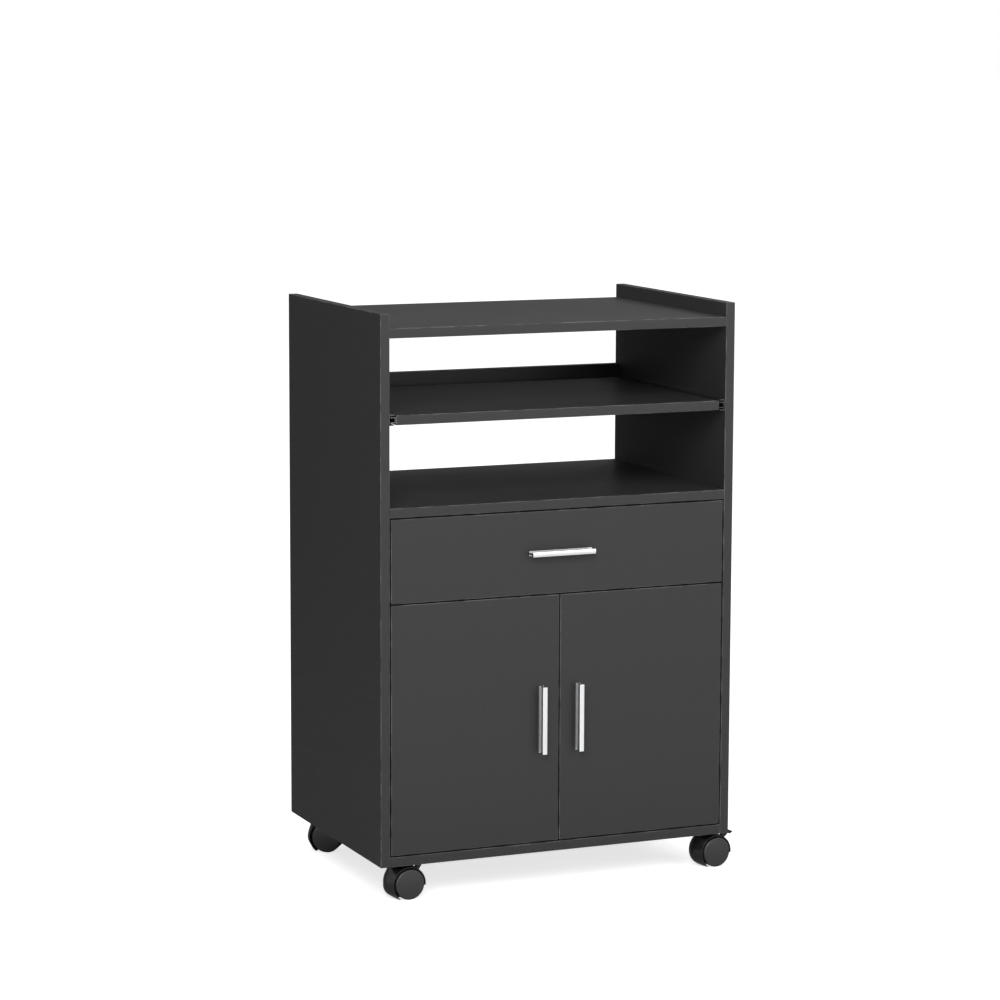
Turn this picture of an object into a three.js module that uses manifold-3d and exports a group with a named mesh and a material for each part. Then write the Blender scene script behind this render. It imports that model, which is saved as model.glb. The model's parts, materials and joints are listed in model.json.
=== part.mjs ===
// Microwave cart: a flat-pack cabinet of 15 mm boards on four twin-wheel casters, with a tray top,
// an open compartment with a pull-out shelf, a drawer and a cupboard with two doors.
// Millimetres, +Z up. The model is built with X = 0 on the carcass's mid plane, Y = 0 on the front
// plane (+Y towards the back) and Z = 0 on the floor, then moved so that the centre of the whole
// footprint, handles and brake pedal included, is the origin.

import * as THREE from "three";
import { RoundedBoxGeometry } from "three/addons/geometries/RoundedBoxGeometry.js";
import { mergeVertices } from "three/addons/utils/BufferGeometryUtils.js";
import Module from "manifold-3d";

const wasm = await Module();
wasm.setup();

// ---------------------------------------------------------------- driving sizes

// Carcass
const carcassWidth = 590;
const carcassDepth = 400;
const sideHeight = 842; // side panels, which also form the rim of the tray top
const boardThickness = 15;
const traySideRise = 22; // side panels above the top shelf's surface
const middleShelfHeight = 535; // underside of the middle shelf above the carcass's bottom
const edgeRadius = 0.8; // softened edge of the banded boards
const rearRailHeight = 70;
const rearRailTop = 711; // above the carcass's bottom
const backThickness = 3;
const backInset = 10; // rear edge of the boards to the back panel
const backGrooveDepth = 6;
const seatGap = 0.3; // clearance of a piece in its groove, bore or on its pin

// Fronts, inset between the side panels and flush with their edges
const frontGap = 2;
const drawerFrontHeight = 128.5;

// Ball-bearing slides
const slideRearGap = 19; // drawer slides to the back panel
const slideOverlap = 110; // of the rails, fully pulled out
const slideHeight = 17;
const slideGap = 10.6; // side panel to the board that the slide carries
const slideWall = 1.2;
const slideSetback = 3; // end of the slide behind the front of what it carries
const ballDiameter = 2.2;
const ballsPerRow = 6;
const cageWall = 0.6;
const cageClearance = 0.4; // ball cage to the rails
const cageEndMargin = 5; // cage to the end of the rails' overlap, fully pulled out
const raceLip = 0.6; // curled edge that keeps the balls in the race
const outerFlangeBack = 1.4; // outer rail's flange tips behind the inner rail's web

// Pull-out shelf
const pulloutShelfHeight = 675; // underside above the carcass's bottom
const shelfRearGap = 15; // shelf to the rear rail

// Drawer box
const drawerSideThickness = 12;
const drawerSideHeight = 95;
const drawerRearGap = 27; // box to the back panel
const drawerBoxRise = 14; // lower edge of the drawer front to the box
const drawerBottomThickness = 3;
const drawerBottomRise = 8; // lower edge of the sides to the groove
const drawerGrooveDepth = 5;

// Handles, an H-shaped bar
const handleLength = 105;
const handleWidth = 7.5;
const handleProjection = 17;
const handleBaseThickness = 2;
const handleWebThickness = 3;
const handleFaceThickness = 2.2;
const handleCrown = 0.5; // bulge of the front face
const doorHandleOffset = 31; // handle's middle to the cart's mid plane

// Concealed hinges
const hingeEndDistance = 70; // hinge's middle to the door's upper or lower end
const cupDiameter = 35;
const cupDepth = 11.5;
const cupWall = 1;
const cupEdgeDistance = 4; // cup's rim to the door's edge
const flangeThickness = 1.2;
const flangeHeight = 60;
const flangeWidth = 22;
const armWidth = 13;
const armTipRadius = 3.3;
const armReach = 22; // tip pivot to the side panel
const armPivotBehindDoor = 5; // tip pivot to the door's inner face
const armPlateThickness = 2.5;
const armPlateHeight = 50;
const armPlateLength = 30;
const armPlateFront = 21; // plate's front end to the door's inner face
const armThickness = 10.5; // arm above the mounting plate
const linkLength = 46;
const linkWidth = 6.2;
const linkEyeRadius = 2.9;
const linkEndRadius = 1.8;
const hingePinRadius = 1.5;

// Casters
const casterSideInset = 33; // swivel axis to the cart's side
const casterEndInset = 33; // swivel axis to the cart's front or rear
const casterTrail = 20;
const wheelRadius = 24;
const wheelWidth = 15.5;
const wheelPairWidth = 42;
const wheelDome = 1; // bulge of the wheel's outer face
const wheelEdge = 2.6; // rounding of the wheel's outer edge
const wheelHubRadius = 7;
const wheelRecess = 2.5;
const wheelTreadWall = 3;
const wheelBoreDepth = 11;
const axleRadius = 3;
const hoodClearance = 2; // wheel to the hood, on average
const hoodWall = 1.4;
const hoodCrown = 1.2; // bulge of the hood's middle over its rims
const hoodLead = 1.3; // hood's middle ahead of the axle
const hoodRimSetback = 2; // hood's rim behind the wheel's outer face
const hoodFloorGap = 2.2; // hood's leading edge above the floor
const hoodFlatEnd = 4; // lower edge starts to rise this far ahead of the axle
const hoodTrailingRise = 0; // lower edge's trailing end above the axle
const noseRadius = 15.7; // rounded housing of the swivel pin
const noseMiddle = 21.5; // widest level of the housing above the floor
const noseBottom = 4.8;
const noseTop = 46;
const neckRadius = 7.5; // swivel seat on top of the hood
const neckRise = 0.4; // swivel seat above the hood's crown
const plateSize = 42;
const plateCorner = 5;
const plateThickness = 2.5;
const plateHolePitch = 32;
const plateHoleRadius = 2.4;
const raceRadius = 14; // swivel race under the plate
const raceHeight = 2.2;
const kingpinRadius = 4;
const kingpinLength = 24; // below the swivel race
const casterTurns = { front_left: 3, front_right: 6, rear_left: -36, rear_right: -12 }; // degrees, at rest

// Brake pedals on the two front casters, drawn in the raised position
const pedalPivotRadius = 22.5; // pivot to the axle
const pedalPivotAngle = 44; // degrees above the trailing direction
const pedalDrop = 1.4; // tread below the cabinet's underside
const pedalTreadFront = 41.5; // tread's ends to the swivel axis
const pedalTreadTip = 52;
const pedalTreadThickness = 4.8;
const pedalTreadWidth = 18;
const pedalArmWidth = 7;
const pedalArmThickness = 6.4;
const pedalRootRadius = 3.6;
const pedalPinRadius = 1.4;
const pedalSideGap = 0.4; // arm to the walls of its slot
const pedalPinSeat = 1.2; // pin's ends in the slot's walls
const pedalPressed = { left: 0, right: 14 }; // degrees, at rest

// ---------------------------------------------------------------- derived sizes

const axleHeight = wheelRadius;
const wheelOuterFace = wheelPairWidth / 2;
const wheelInnerFace = wheelOuterFace - wheelWidth;
const hoodWebHalf = wheelInnerFace - seatGap; // wall between the wheels, which holds the axle
const hoodInnerRadius = wheelRadius + hoodClearance;
const hoodRimRadius = hoodInnerRadius + hoodWall;
const hoodOuterRadius = hoodRimRadius + hoodCrown;
const neckTop = axleHeight + hoodOuterRadius + neckRise;
const casterHeight = neckTop + seatGap + raceHeight + plateThickness;
const pedalTreadTop = casterHeight - pedalDrop;
const halfWidth = carcassWidth / 2;
const innerHalf = halfWidth - boardThickness;
const carcassTop = casterHeight + sideHeight;
const topShelfTop = carcassTop - traySideRise;
const middleShelfBottom = casterHeight + middleShelfHeight;
const backPanelFront = carcassDepth - backInset - backThickness;
const bottomPanelTop = casterHeight + boardThickness;
const drawerFrontTop = middleShelfBottom - frontGap;
const drawerFrontBottom = drawerFrontTop - drawerFrontHeight;
const doorTop = drawerFrontBottom - frontGap;
const doorBottom = bottomPanelTop + frontGap;
const doorWidth = innerHalf - 1.5 * frontGap;
const drawerOuterHalf = innerHalf - slideGap;
const drawerInnerHalf = drawerOuterHalf - drawerSideThickness;
const drawerBoxBottom = drawerFrontBottom + drawerBoxRise;
const drawerBoxRear = backPanelFront - drawerRearGap;
const slideLength = backPanelFront - slideRearGap - boardThickness - slideSetback;
const slideTravel = slideLength - slideOverlap;
const pulloutShelfDepth = carcassDepth - boardThickness - shelfRearGap;
const cupMiddle = frontGap + cupEdgeDistance + cupDiameter / 2; // from the side panel
const armPivotY = boardThickness + armPivotBehindDoor;
const sides = { left: -1, right: 1 };

// ---------------------------------------------------------------- materials

function finish(color, roughness, metalness = 0) {
  return () => new THREE.MeshStandardMaterial({ color, roughness, metalness });
}

const anthraciteBoard = finish(0x3a3a3c, 0.55);
const darkHardboard = finish(0x2b2b2d, 0.7);
const blackSteel = finish(0x1c1c1e, 0.4, 0.8);
const zincSteel = finish(0xb9bcc0, 0.3, 1);
const satinAluminium = finish(0xd4d6d8, 0.28, 1);
const nickelSteel = finish(0xa9abad, 0.25, 1);
const blackNylon = finish(0x1e1e20, 0.45);
const wheelNylon = finish(0x38383a, 0.5);

// ---------------------------------------------------------------- geometry helpers

function toSolid(geometry) {
  const bare = geometry.clone();
  bare.deleteAttribute("normal");
  bare.deleteAttribute("uv");
  const merged = mergeVertices(bare, 1e-4);
  return new wasm.Manifold(
    new wasm.Mesh({
      numProp: 3,
      vertProperties: merged.attributes.position.array,
      triVerts: new Uint32Array(merged.index.array),
    }),
  );
}

function toGeometry(solid) {
  const mesh = solid.getMesh();
  const geometry = new THREE.BufferGeometry();
  geometry.setAttribute("position", new THREE.BufferAttribute(mesh.vertProperties, 3));
  geometry.setIndex(new THREE.BufferAttribute(mesh.triVerts, 1));
  geometry.computeVertexNormals();
  return geometry;
}

function unite(...pieces) {
  return toGeometry(pieces.map(toSolid).reduce((a, b) => a.add(b)));
}

function subtract(base, ...cutters) {
  return toGeometry(cutters.map(toSolid).reduce((a, b) => a.subtract(b), toSolid(base)));
}

// Smallest convex solid around some pieces.
function hull(...pieces) {
  return toGeometry(wasm.Manifold.hull(pieces.map(toSolid)));
}

// Box between two corners, given as ranges along X, Y and Z.
function box([x0, x1], [y0, y1], [z0, z1]) {
  const geometry = new THREE.BoxGeometry(x1 - x0, y1 - y0, z1 - z0);
  return geometry.translate((x0 + x1) / 2, (y0 + y1) / 2, (z0 + z1) / 2);
}

// Board with all its edges softened.
function roundedBox([x0, x1], [y0, y1], [z0, z1]) {
  const geometry = new RoundedBoxGeometry(x1 - x0, y1 - y0, z1 - z0, 1, edgeRadius);
  return geometry.translate((x0 + x1) / 2, (y0 + y1) / 2, (z0 + z1) / 2);
}

// Directions of a shape's x, a shape's y and the extrusion, by the axis of extrusion.
const extrusionFrames = {
  x: [new THREE.Vector3(0, 1, 0), new THREE.Vector3(0, 0, 1), new THREE.Vector3(1, 0, 0)],
  y: [new THREE.Vector3(1, 0, 0), new THREE.Vector3(0, 0, 1), new THREE.Vector3(0, -1, 0)],
  z: [new THREE.Vector3(1, 0, 0), new THREE.Vector3(0, 1, 0), new THREE.Vector3(0, 0, 1)],
};

// Prism of a shape along an axis: shapes are drawn in (Y, Z), (X, Z) or (X, Y).
function prism(axis, shape, [from, to], curveSegments = 6) {
  const options = { depth: to - from, bevelEnabled: false, curveSegments };
  const geometry = new THREE.ExtrudeGeometry(shape, options);
  geometry.applyMatrix4(new THREE.Matrix4().makeBasis(...extrusionFrames[axis]));
  const shift = { x: [from, 0, 0], y: [0, to, 0], z: [0, 0, from] };
  return geometry.translate(...shift[axis]);
}

function roundedRectangle([x0, x1], [y0, y1], radius) {
  const shape = new THREE.Shape();
  shape.absarc(x1 - radius, y0 + radius, radius, -Math.PI / 2, 0);
  shape.absarc(x1 - radius, y1 - radius, radius, 0, Math.PI / 2);
  shape.absarc(x0 + radius, y1 - radius, radius, Math.PI / 2, Math.PI);
  shape.absarc(x0 + radius, y0 + radius, radius, Math.PI, 1.5 * Math.PI);
  shape.closePath();
  return shape;
}

function circle(x, y, radius) {
  return new THREE.Shape().absarc(x, y, radius, 0, 2 * Math.PI);
}

function hole(x, y, radius) {
  return new THREE.Path().absarc(x, y, radius, 0, 2 * Math.PI, true);
}

function polygon(points) {
  return new THREE.Shape(points.map(([x, y]) => new THREE.Vector2(x, y)));
}

// A radius profile turned about the Y axis, with its heights along Y.
function turned(profile, segments) {
  const points = profile.map(([radius, y]) => new THREE.Vector2(radius, y));
  return new THREE.LatheGeometry(points, segments);
}

function part(name, geometry, material) {
  const mesh = new THREE.Mesh(geometry, material());
  mesh.name = name;
  return mesh;
}

// ---------------------------------------------------------------- carcass

// Shelf between the side panels, its long edges softened and its ends cut square.
function crossBoard([y0, y1], [z0, z1]) {
  const section = roundedRectangle([y0, y1], [z0, z1], edgeRadius);
  return prism("x", section, [-innerHalf, innerHalf], 1);
}

function sidePanelBlank(side) {
  const inner = side * innerHalf;
  const outer = side * halfWidth;
  const section = roundedRectangle(
    [Math.min(inner, outer), Math.max(inner, outer)],
    [0, carcassDepth],
    edgeRadius,
  );
  return prism("z", section, [casterHeight, carcassTop], 1);
}

// The back panel's block, grown by a clearance all round: with none it is the panel itself.
function backPanelBlock(clearance) {
  const reach = backGrooveDepth - seatGap + clearance;
  return box(
    [-innerHalf - reach, innerHalf + reach],
    [backPanelFront - clearance, backPanelFront + backThickness + clearance],
    [bottomPanelTop - reach, middleShelfBottom + reach],
  );
}

function carcass() {
  const groove = backPanelBlock(seatGap);
  const topShelfZ = [topShelfTop - boardThickness, topShelfTop];
  const middleShelfZ = [middleShelfBottom, middleShelfBottom + boardThickness];
  const bottomPanelZ = [casterHeight, bottomPanelTop];
  const rearRailZ = [casterHeight + rearRailTop - rearRailHeight, casterHeight + rearRailTop];
  const fullDepth = [0, carcassDepth];
  const railY = [carcassDepth - boardThickness, carcassDepth];
  const pieces = {
    top_shelf: crossBoard(fullDepth, topShelfZ),
    middle_shelf: subtract(crossBoard(fullDepth, middleShelfZ), groove),
    bottom_panel: subtract(crossBoard(fullDepth, bottomPanelZ), groove),
    rear_rail: crossBoard(railY, rearRailZ),
  };
  for (const [name, side] of Object.entries(sides)) {
    pieces[`side_panel_${name}`] = subtract(sidePanelBlank(side), groove);
  }
  const boards = Object.entries(pieces).map(([name, g]) => part(name, g, anthraciteBoard));
  return [...boards, part("back_panel", backPanelBlock(0), darkHardboard)];
}

// ---------------------------------------------------------------- slides

const ballRace = ballDiameter + 2 * seatGap;
const innerRailHalf = slideHeight / 2 - slideWall - ballRace;
const cageLevel = innerRailHalf + ballRace / 2;
const innerFlangeTip = slideWall + 2 * cageClearance + cageWall;
const outerFlangeTip = slideGap - slideWall - outerFlangeBack;
const cageLength = slideOverlap - 2 * cageEndMargin;

// A slide's section is drawn with u, the distance from the side panel, and z about its middle.
function slideSection(side, zMiddle, points) {
  return polygon(points.map(([u, z]) => [side * (innerHalf - u), zMiddle + z]));
}

// Outer rail: a channel fixed to the side panel, with lips curled in around the balls.
function outerRailPoints() {
  const h = slideHeight / 2;
  const lip = h - slideWall - raceLip;
  const half = [
    [outerFlangeTip, -h],
    [outerFlangeTip, -lip],
    [outerFlangeTip - slideWall, -lip],
    [outerFlangeTip - slideWall, slideWall - h],
    [slideWall, slideWall - h],
  ];
  return [[0, -h], ...half, ...mirroredUp(half), [0, h]];
}

// Inner rail: a smaller channel on the shelf or the drawer, open towards the side panel.
function innerRailPoints() {
  const h = innerRailHalf;
  const half = [
    [innerFlangeTip + slideWall, -h],
    [innerFlangeTip + slideWall, -h - raceLip],
    [innerFlangeTip, -h - raceLip],
    [innerFlangeTip, slideWall - h],
    [slideGap - slideWall, slideWall - h],
  ];
  return [[slideGap, -h], ...half, ...mirroredUp(half), [slideGap, h]];
}

// Ball cage: a thin channel that runs between the two rails.
function cagePoints() {
  const low = cageLevel - cageWall / 2;
  const high = cageLevel + cageWall / 2;
  const web = slideWall + cageClearance;
  const tip = outerFlangeTip - cageWall;
  const half = [
    [tip, -high],
    [tip, -low],
    [web + cageWall, -low],
  ];
  return [[web, -high], ...half, ...mirroredUp(half), [web, high]];
}

function mirroredUp(points) {
  return points.map(([u, z]) => [u, -z]).reverse();
}

function ballCage(side, zMiddle, yFront) {
  const strip = prism("y", slideSection(side, zMiddle, cagePoints()), [yFront, yFront + cageLength]);
  const ballU = (innerFlangeTip + outerFlangeTip) / 2;
  const pitch = cageLength / ballsPerRow;
  const balls = [];
  for (let i = 0; i < ballsPerRow; i++) {
    for (const z of [-cageLevel, cageLevel]) {
      const ball = new THREE.SphereGeometry(ballDiameter / 2, 6, 4);
      balls.push(ball.translate(side * (innerHalf - ballU), yFront + (i + 0.5) * pitch, zMiddle + z));
    }
  }
  return unite(strip, ...balls);
}

// Left and right slide of one shelf or drawer, whose front is at carriedFront.
function slidePair(prefix, zMiddle, carriedFront) {
  const yFront = carriedFront + slideSetback;
  const length = [yFront, yFront + slideLength];
  const cageFront = yFront + slideTravel / 2 + cageEndMargin;
  return Object.entries(sides).flatMap(([name, side]) => {
    const outer = prism("y", slideSection(side, zMiddle, outerRailPoints()), length);
    const inner = prism("y", slideSection(side, zMiddle, innerRailPoints()), length);
    return [
      part(`${prefix}_outer_rail_${name}`, outer, blackSteel),
      part(`${prefix}_inner_rail_${name}`, inner, blackSteel),
      part(`${prefix}_ball_cage_${name}`, ballCage(side, zMiddle, cageFront), zincSteel),
    ];
  });
}

// ---------------------------------------------------------------- pull-out shelf

function pulloutShelf() {
  const z0 = casterHeight + pulloutShelfHeight;
  const board = roundedBox(
    [-drawerOuterHalf, drawerOuterHalf],
    [0, pulloutShelfDepth],
    [z0, z0 + boardThickness],
  );
  return [
    part("pullout_shelf", board, anthraciteBoard),
    ...slidePair("shelf", z0 + boardThickness / 2, 0),
  ];
}

// ---------------------------------------------------------------- handles

// Section of the bar, drawn across (w) and away from the front (p): base, web and a crowned face.
function handleSection() {
  const w = handleWidth / 2;
  const web = handleWebThickness / 2;
  const faceBack = handleProjection - handleFaceThickness;
  const faceEdge = handleProjection - handleCrown;
  const shape = new THREE.Shape();
  shape.moveTo(-w, 0);
  shape.lineTo(w, 0);
  shape.lineTo(w, handleBaseThickness);
  shape.lineTo(web, handleBaseThickness);
  shape.lineTo(web, faceBack);
  shape.lineTo(w, faceBack);
  shape.lineTo(w, faceEdge);
  shape.quadraticCurveTo(0, handleProjection + handleCrown, -w, faceEdge);
  shape.lineTo(-w, faceBack);
  shape.lineTo(-web, faceBack);
  shape.lineTo(-web, handleBaseThickness);
  shape.lineTo(-w, handleBaseThickness);
  shape.closePath();
  return shape;
}

// Handle along Z at the origin, standing out towards -Y.
function uprightHandle() {
  const bar = prism("z", handleSection(), [-handleLength / 2, handleLength / 2]);
  return bar.rotateZ(Math.PI);
}

function handle(name, x, z, lying) {
  const mesh = part(name, uprightHandle(), satinAluminium);
  mesh.position.set(x, 0, z);
  mesh.rotation.y = lying ? Math.PI / 2 : 0;
  return mesh;
}

// ---------------------------------------------------------------- drawer

// The drawer bottom's block: clearance opens the groove above and around it.
function drawerBottomBlock(clearance) {
  const reach = drawerGrooveDepth - seatGap + clearance;
  const z0 = drawerBoxBottom + drawerBottomRise;
  return box(
    [-drawerInnerHalf - reach, drawerInnerHalf + reach],
    [boardThickness - reach, drawerBoxRear + clearance],
    [z0, z0 + drawerBottomThickness + clearance],
  );
}

function drawer() {
  const groove = drawerBottomBlock(seatGap);
  const boxTop = drawerBoxBottom + drawerSideHeight;
  const frontWidth = [-innerHalf + frontGap, innerHalf - frontGap];
  const front = roundedBox(frontWidth, [0, boardThickness], [drawerFrontBottom, drawerFrontTop]);
  const backBottom = drawerBoxBottom + drawerBottomRise + drawerBottomThickness + seatGap;
  const back = box(
    [-drawerInnerHalf, drawerInnerHalf],
    [drawerBoxRear - drawerSideThickness, drawerBoxRear],
    [backBottom, boxTop],
  );
  const boxSides = Object.entries(sides).map(([name, side]) => {
    const faces = [side * drawerInnerHalf, side * drawerOuterHalf].sort((a, b) => a - b);
    const section = roundedRectangle(faces, [drawerBoxBottom, boxTop], edgeRadius);
    const board = prism("y", section, [boardThickness, drawerBoxRear], 1);
    return part(`drawer_side_${name}`, subtract(board, groove), anthraciteBoard);
  });
  const handleLevel = (drawerFrontBottom + drawerFrontTop) / 2;
  return [
    part("drawer_front", subtract(front, groove), anthraciteBoard),
    ...boxSides,
    part("drawer_back", back, anthraciteBoard),
    part("drawer_bottom", drawerBottomBlock(0), darkHardboard),
    handle("drawer_handle", 0, handleLevel, true),
    ...slidePair("drawer", drawerBoxBottom + drawerSideHeight / 2, boardThickness),
  ];
}

// ---------------------------------------------------------------- doors and hinges

// Hinge pieces are drawn about the hinge's own level.
const hingeLevels = {
  lower: doorBottom + hingeEndDistance,
  upper: doorTop - hingeEndDistance,
};

function cupBore(side) {
  const centre = side * (innerHalf - cupMiddle);
  const radius = cupDiameter / 2 + seatGap;
  const depth = [boardThickness - cupDepth - seatGap, boardThickness + seatGap];
  return prism("y", circle(centre, 0, radius), depth, 20);
}

// Cup sunk in the door, and its flange on the door's inner face.
function hingeCup(side) {
  const centre = side * (innerHalf - cupMiddle);
  const outer = cupDiameter / 2;
  const inner = outer - cupWall;
  const rim = boardThickness + flangeThickness;
  const floor = boardThickness - cupDepth;
  const bowl = turned(
    [
      [0, floor],
      [outer, floor],
      [outer, rim],
      [inner, rim],
      [inner, floor + cupWall],
      [0, floor + cupWall],
    ],
    28,
  );
  const plate = roundedRectangle(
    [centre - flangeWidth / 2, centre + flangeWidth / 2],
    [-flangeHeight / 2, flangeHeight / 2],
    flangeWidth / 4,
  );
  const flange = subtract(
    prism("y", plate, [boardThickness, rim], 3),
    prism("y", circle(centre, 0, (outer + inner) / 2), [boardThickness - 1, rim + 1], 20),
  );
  return unite(bowl.translate(centre, 0, 0), flange, linkRest(side));
}

// Pad on the cup's rim, which the folded link lies on.
function linkRest(side) {
  const far = cupMiddle + cupDiameter / 2;
  const near = far - 2 * cupWall;
  const taper = (linkEyeRadius - linkEndRadius) / linkLength;
  const linkUnderside = armPivotY - linkEyeRadius + taper * (near - armReach);
  return box(
    [side * (innerHalf - near), side * (innerHalf - far)].sort((a, b) => a - b),
    [boardThickness - 2 * cupWall, linkUnderside - seatGap],
    [-linkWidth / 2, linkWidth / 2],
  );
}

// Cranked arm on its mounting plate, forked at the tip around the link.
function hingeArm(side) {
  const plateY = boardThickness + armPlateFront;
  const plateEnd = plateY + armPlateLength;
  const lean = Math.atan2(armPivotY - plateY, armReach - armThickness);
  const shape = new THREE.Shape();
  shape.moveTo(armPlateThickness / 2, plateY);
  shape.absarc(armReach, armPivotY, armTipRadius, lean - Math.PI / 2, lean + Math.PI / 2);
  shape.quadraticCurveTo(armThickness + armPlateThickness, plateY, armThickness + armPlateThickness, plateY + 8);
  shape.lineTo(armThickness + armPlateThickness, plateEnd - 4);
  shape.quadraticCurveTo(armThickness + armPlateThickness, plateEnd, armThickness, plateEnd);
  shape.lineTo(armPlateThickness / 2, plateEnd);
  shape.closePath();
  const arm = prism("z", shape, [-armWidth / 2, armWidth / 2], 5);
  const forkHalf = linkWidth / 2 + seatGap;
  const forkRadius = linkEyeRadius + 3 * seatGap;
  const fork = prism("z", circle(armReach, armPivotY, forkRadius), [-forkHalf, forkHalf], 8);
  const pin = prism("z", circle(armReach, armPivotY, hingePinRadius), [-armWidth / 2, armWidth / 2], 5);
  const plateOutline = roundedRectangle([plateY, plateEnd], [-armPlateHeight / 2, armPlateHeight / 2], 6);
  const plate = prism("x", plateOutline, [0, armPlateThickness], 3);
  return fromSidePanel(side, unite(subtract(arm, fork), pin, plate));
}

// Link that folds over the cup when the door is closed and reaches out to it when it is open.
function hingeLink(side) {
  const far = armReach + linkLength;
  const lean = Math.asin((linkEyeRadius - linkEndRadius) / linkLength);
  const shape = new THREE.Shape();
  shape.absarc(armReach, armPivotY, linkEyeRadius, Math.PI / 2 - lean, 1.5 * Math.PI + lean);
  shape.absarc(far, armPivotY, linkEndRadius, lean - Math.PI / 2, Math.PI / 2 - lean);
  shape.closePath();
  shape.holes.push(hole(armReach, armPivotY, hingePinRadius + seatGap));
  return fromSidePanel(side, prism("z", shape, [-linkWidth / 2, linkWidth / 2], 6));
}

// Turns a piece drawn with x as the distance from the side panel into place at either side.
function fromSidePanel(side, geometry) {
  const placed = side < 0 ? geometry : geometry.rotateY(Math.PI);
  return placed.translate(side * innerHalf, 0, 0);
}

function door(name, side) {
  const inner = side * frontGap / 2;
  const outer = side * (innerHalf - frontGap);
  const faces = [Math.min(inner, outer), Math.max(inner, outer)];
  const board = roundedBox(faces, [0, boardThickness], [doorBottom, doorTop]);
  const bores = Object.values(hingeLevels).map((z) => cupBore(side).translate(0, 0, z));
  const pieces = [
    part(`door_${name}`, subtract(board, ...bores), anthraciteBoard),
    handle(`door_handle_${name}`, side * doorHandleOffset, (doorBottom + doorTop) / 2, false),
  ];
  for (const [level, z] of Object.entries(hingeLevels)) {
    const hinge = {
      cup: hingeCup(side),
      arm: hingeArm(side),
      link: hingeLink(side),
    };
    for (const [piece, geometry] of Object.entries(hinge)) {
      geometry.translate(0, 0, z);
      pieces.push(part(`hinge_${piece}_${level}_${name}`, geometry, nickelSteel));
    }
  }
  return pieces;
}

// ---------------------------------------------------------------- casters

// A caster is drawn about its swivel axis, with its wheels trailing towards +X.

function wheel(side) {
  const bore = axleRadius + seatGap;
  const recess = wheelInnerFace + wheelRecess;
  const rim = wheelOuterFace - wheelDome;
  const profile = [
    [0, wheelInnerFace + wheelBoreDepth],
    [bore, wheelInnerFace + wheelBoreDepth],
    [bore, wheelInnerFace],
    [wheelHubRadius, wheelInnerFace],
    [wheelHubRadius, recess],
    [wheelRadius - wheelTreadWall, recess],
    [wheelRadius - wheelTreadWall, wheelInnerFace],
    [wheelRadius, wheelInnerFace],
    [wheelRadius, rim - wheelEdge],
    [wheelRadius - wheelEdge * 0.3, rim - wheelEdge * 0.3],
    [wheelRadius - wheelEdge, rim],
    [wheelRadius * 0.5, wheelOuterFace - wheelDome * 0.25],
    [0, wheelOuterFace],
  ];
  const geometry = turned(profile, 30);
  const facing = side < 0 ? geometry.rotateX(Math.PI) : geometry;
  return facing.translate(casterTrail, 0, axleHeight);
}

function plateWithKingpin() {
  const top = casterHeight;
  const underside = top - plateThickness;
  const half = plateSize / 2;
  const outline = roundedRectangle([-half, half], [-half, half], plateCorner);
  for (const x of [-1, 1]) {
    for (const y of [-1, 1]) {
      outline.holes.push(hole((x * plateHolePitch) / 2, (y * plateHolePitch) / 2, plateHoleRadius));
    }
  }
  const pinBottom = neckTop + seatGap - kingpinLength;
  const spindle = turned(
    [
      [0, pinBottom],
      [kingpinRadius, pinBottom],
      [kingpinRadius, neckTop + seatGap],
      [neckRadius, neckTop + seatGap],
      [raceRadius, underside],
      [raceRadius, top - plateThickness / 2],
      [0, top - plateThickness / 2],
    ],
    20,
  );
  return unite(prism("z", outline, [underside, top], 3), spindle.rotateX(Math.PI / 2));
}

// Rounded housing of the swivel pin, two half-ellipses turned about the swivel axis.
function nose() {
  const steps = 7;
  const profile = [];
  for (let i = -steps; i <= steps; i++) {
    const angle = (Math.PI / 2) * (i / steps);
    const radius = Math.abs(i) === steps ? 0 : noseRadius * Math.cos(angle);
    const height = i < 0 ? noseMiddle - noseBottom : noseTop - noseMiddle;
    profile.push([radius, noseMiddle + height * Math.sin(angle)]);
  }
  return turned(profile, 24).rotateX(Math.PI / 2);
}

// Crowned drum that the hood wraps round both wheels.
function hoodDrum() {
  const half = wheelOuterFace - hoodRimSetback;
  const steps = 3;
  const profile = [[0, -half]];
  for (let i = -steps; i <= steps; i++) {
    const across = i / steps;
    profile.push([hoodOuterRadius - hoodCrown * across * across, half * across]);
  }
  profile.push([0, half]);
  return turned(profile, 40).translate(casterTrail - hoodLead, 0, axleHeight);
}

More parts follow.
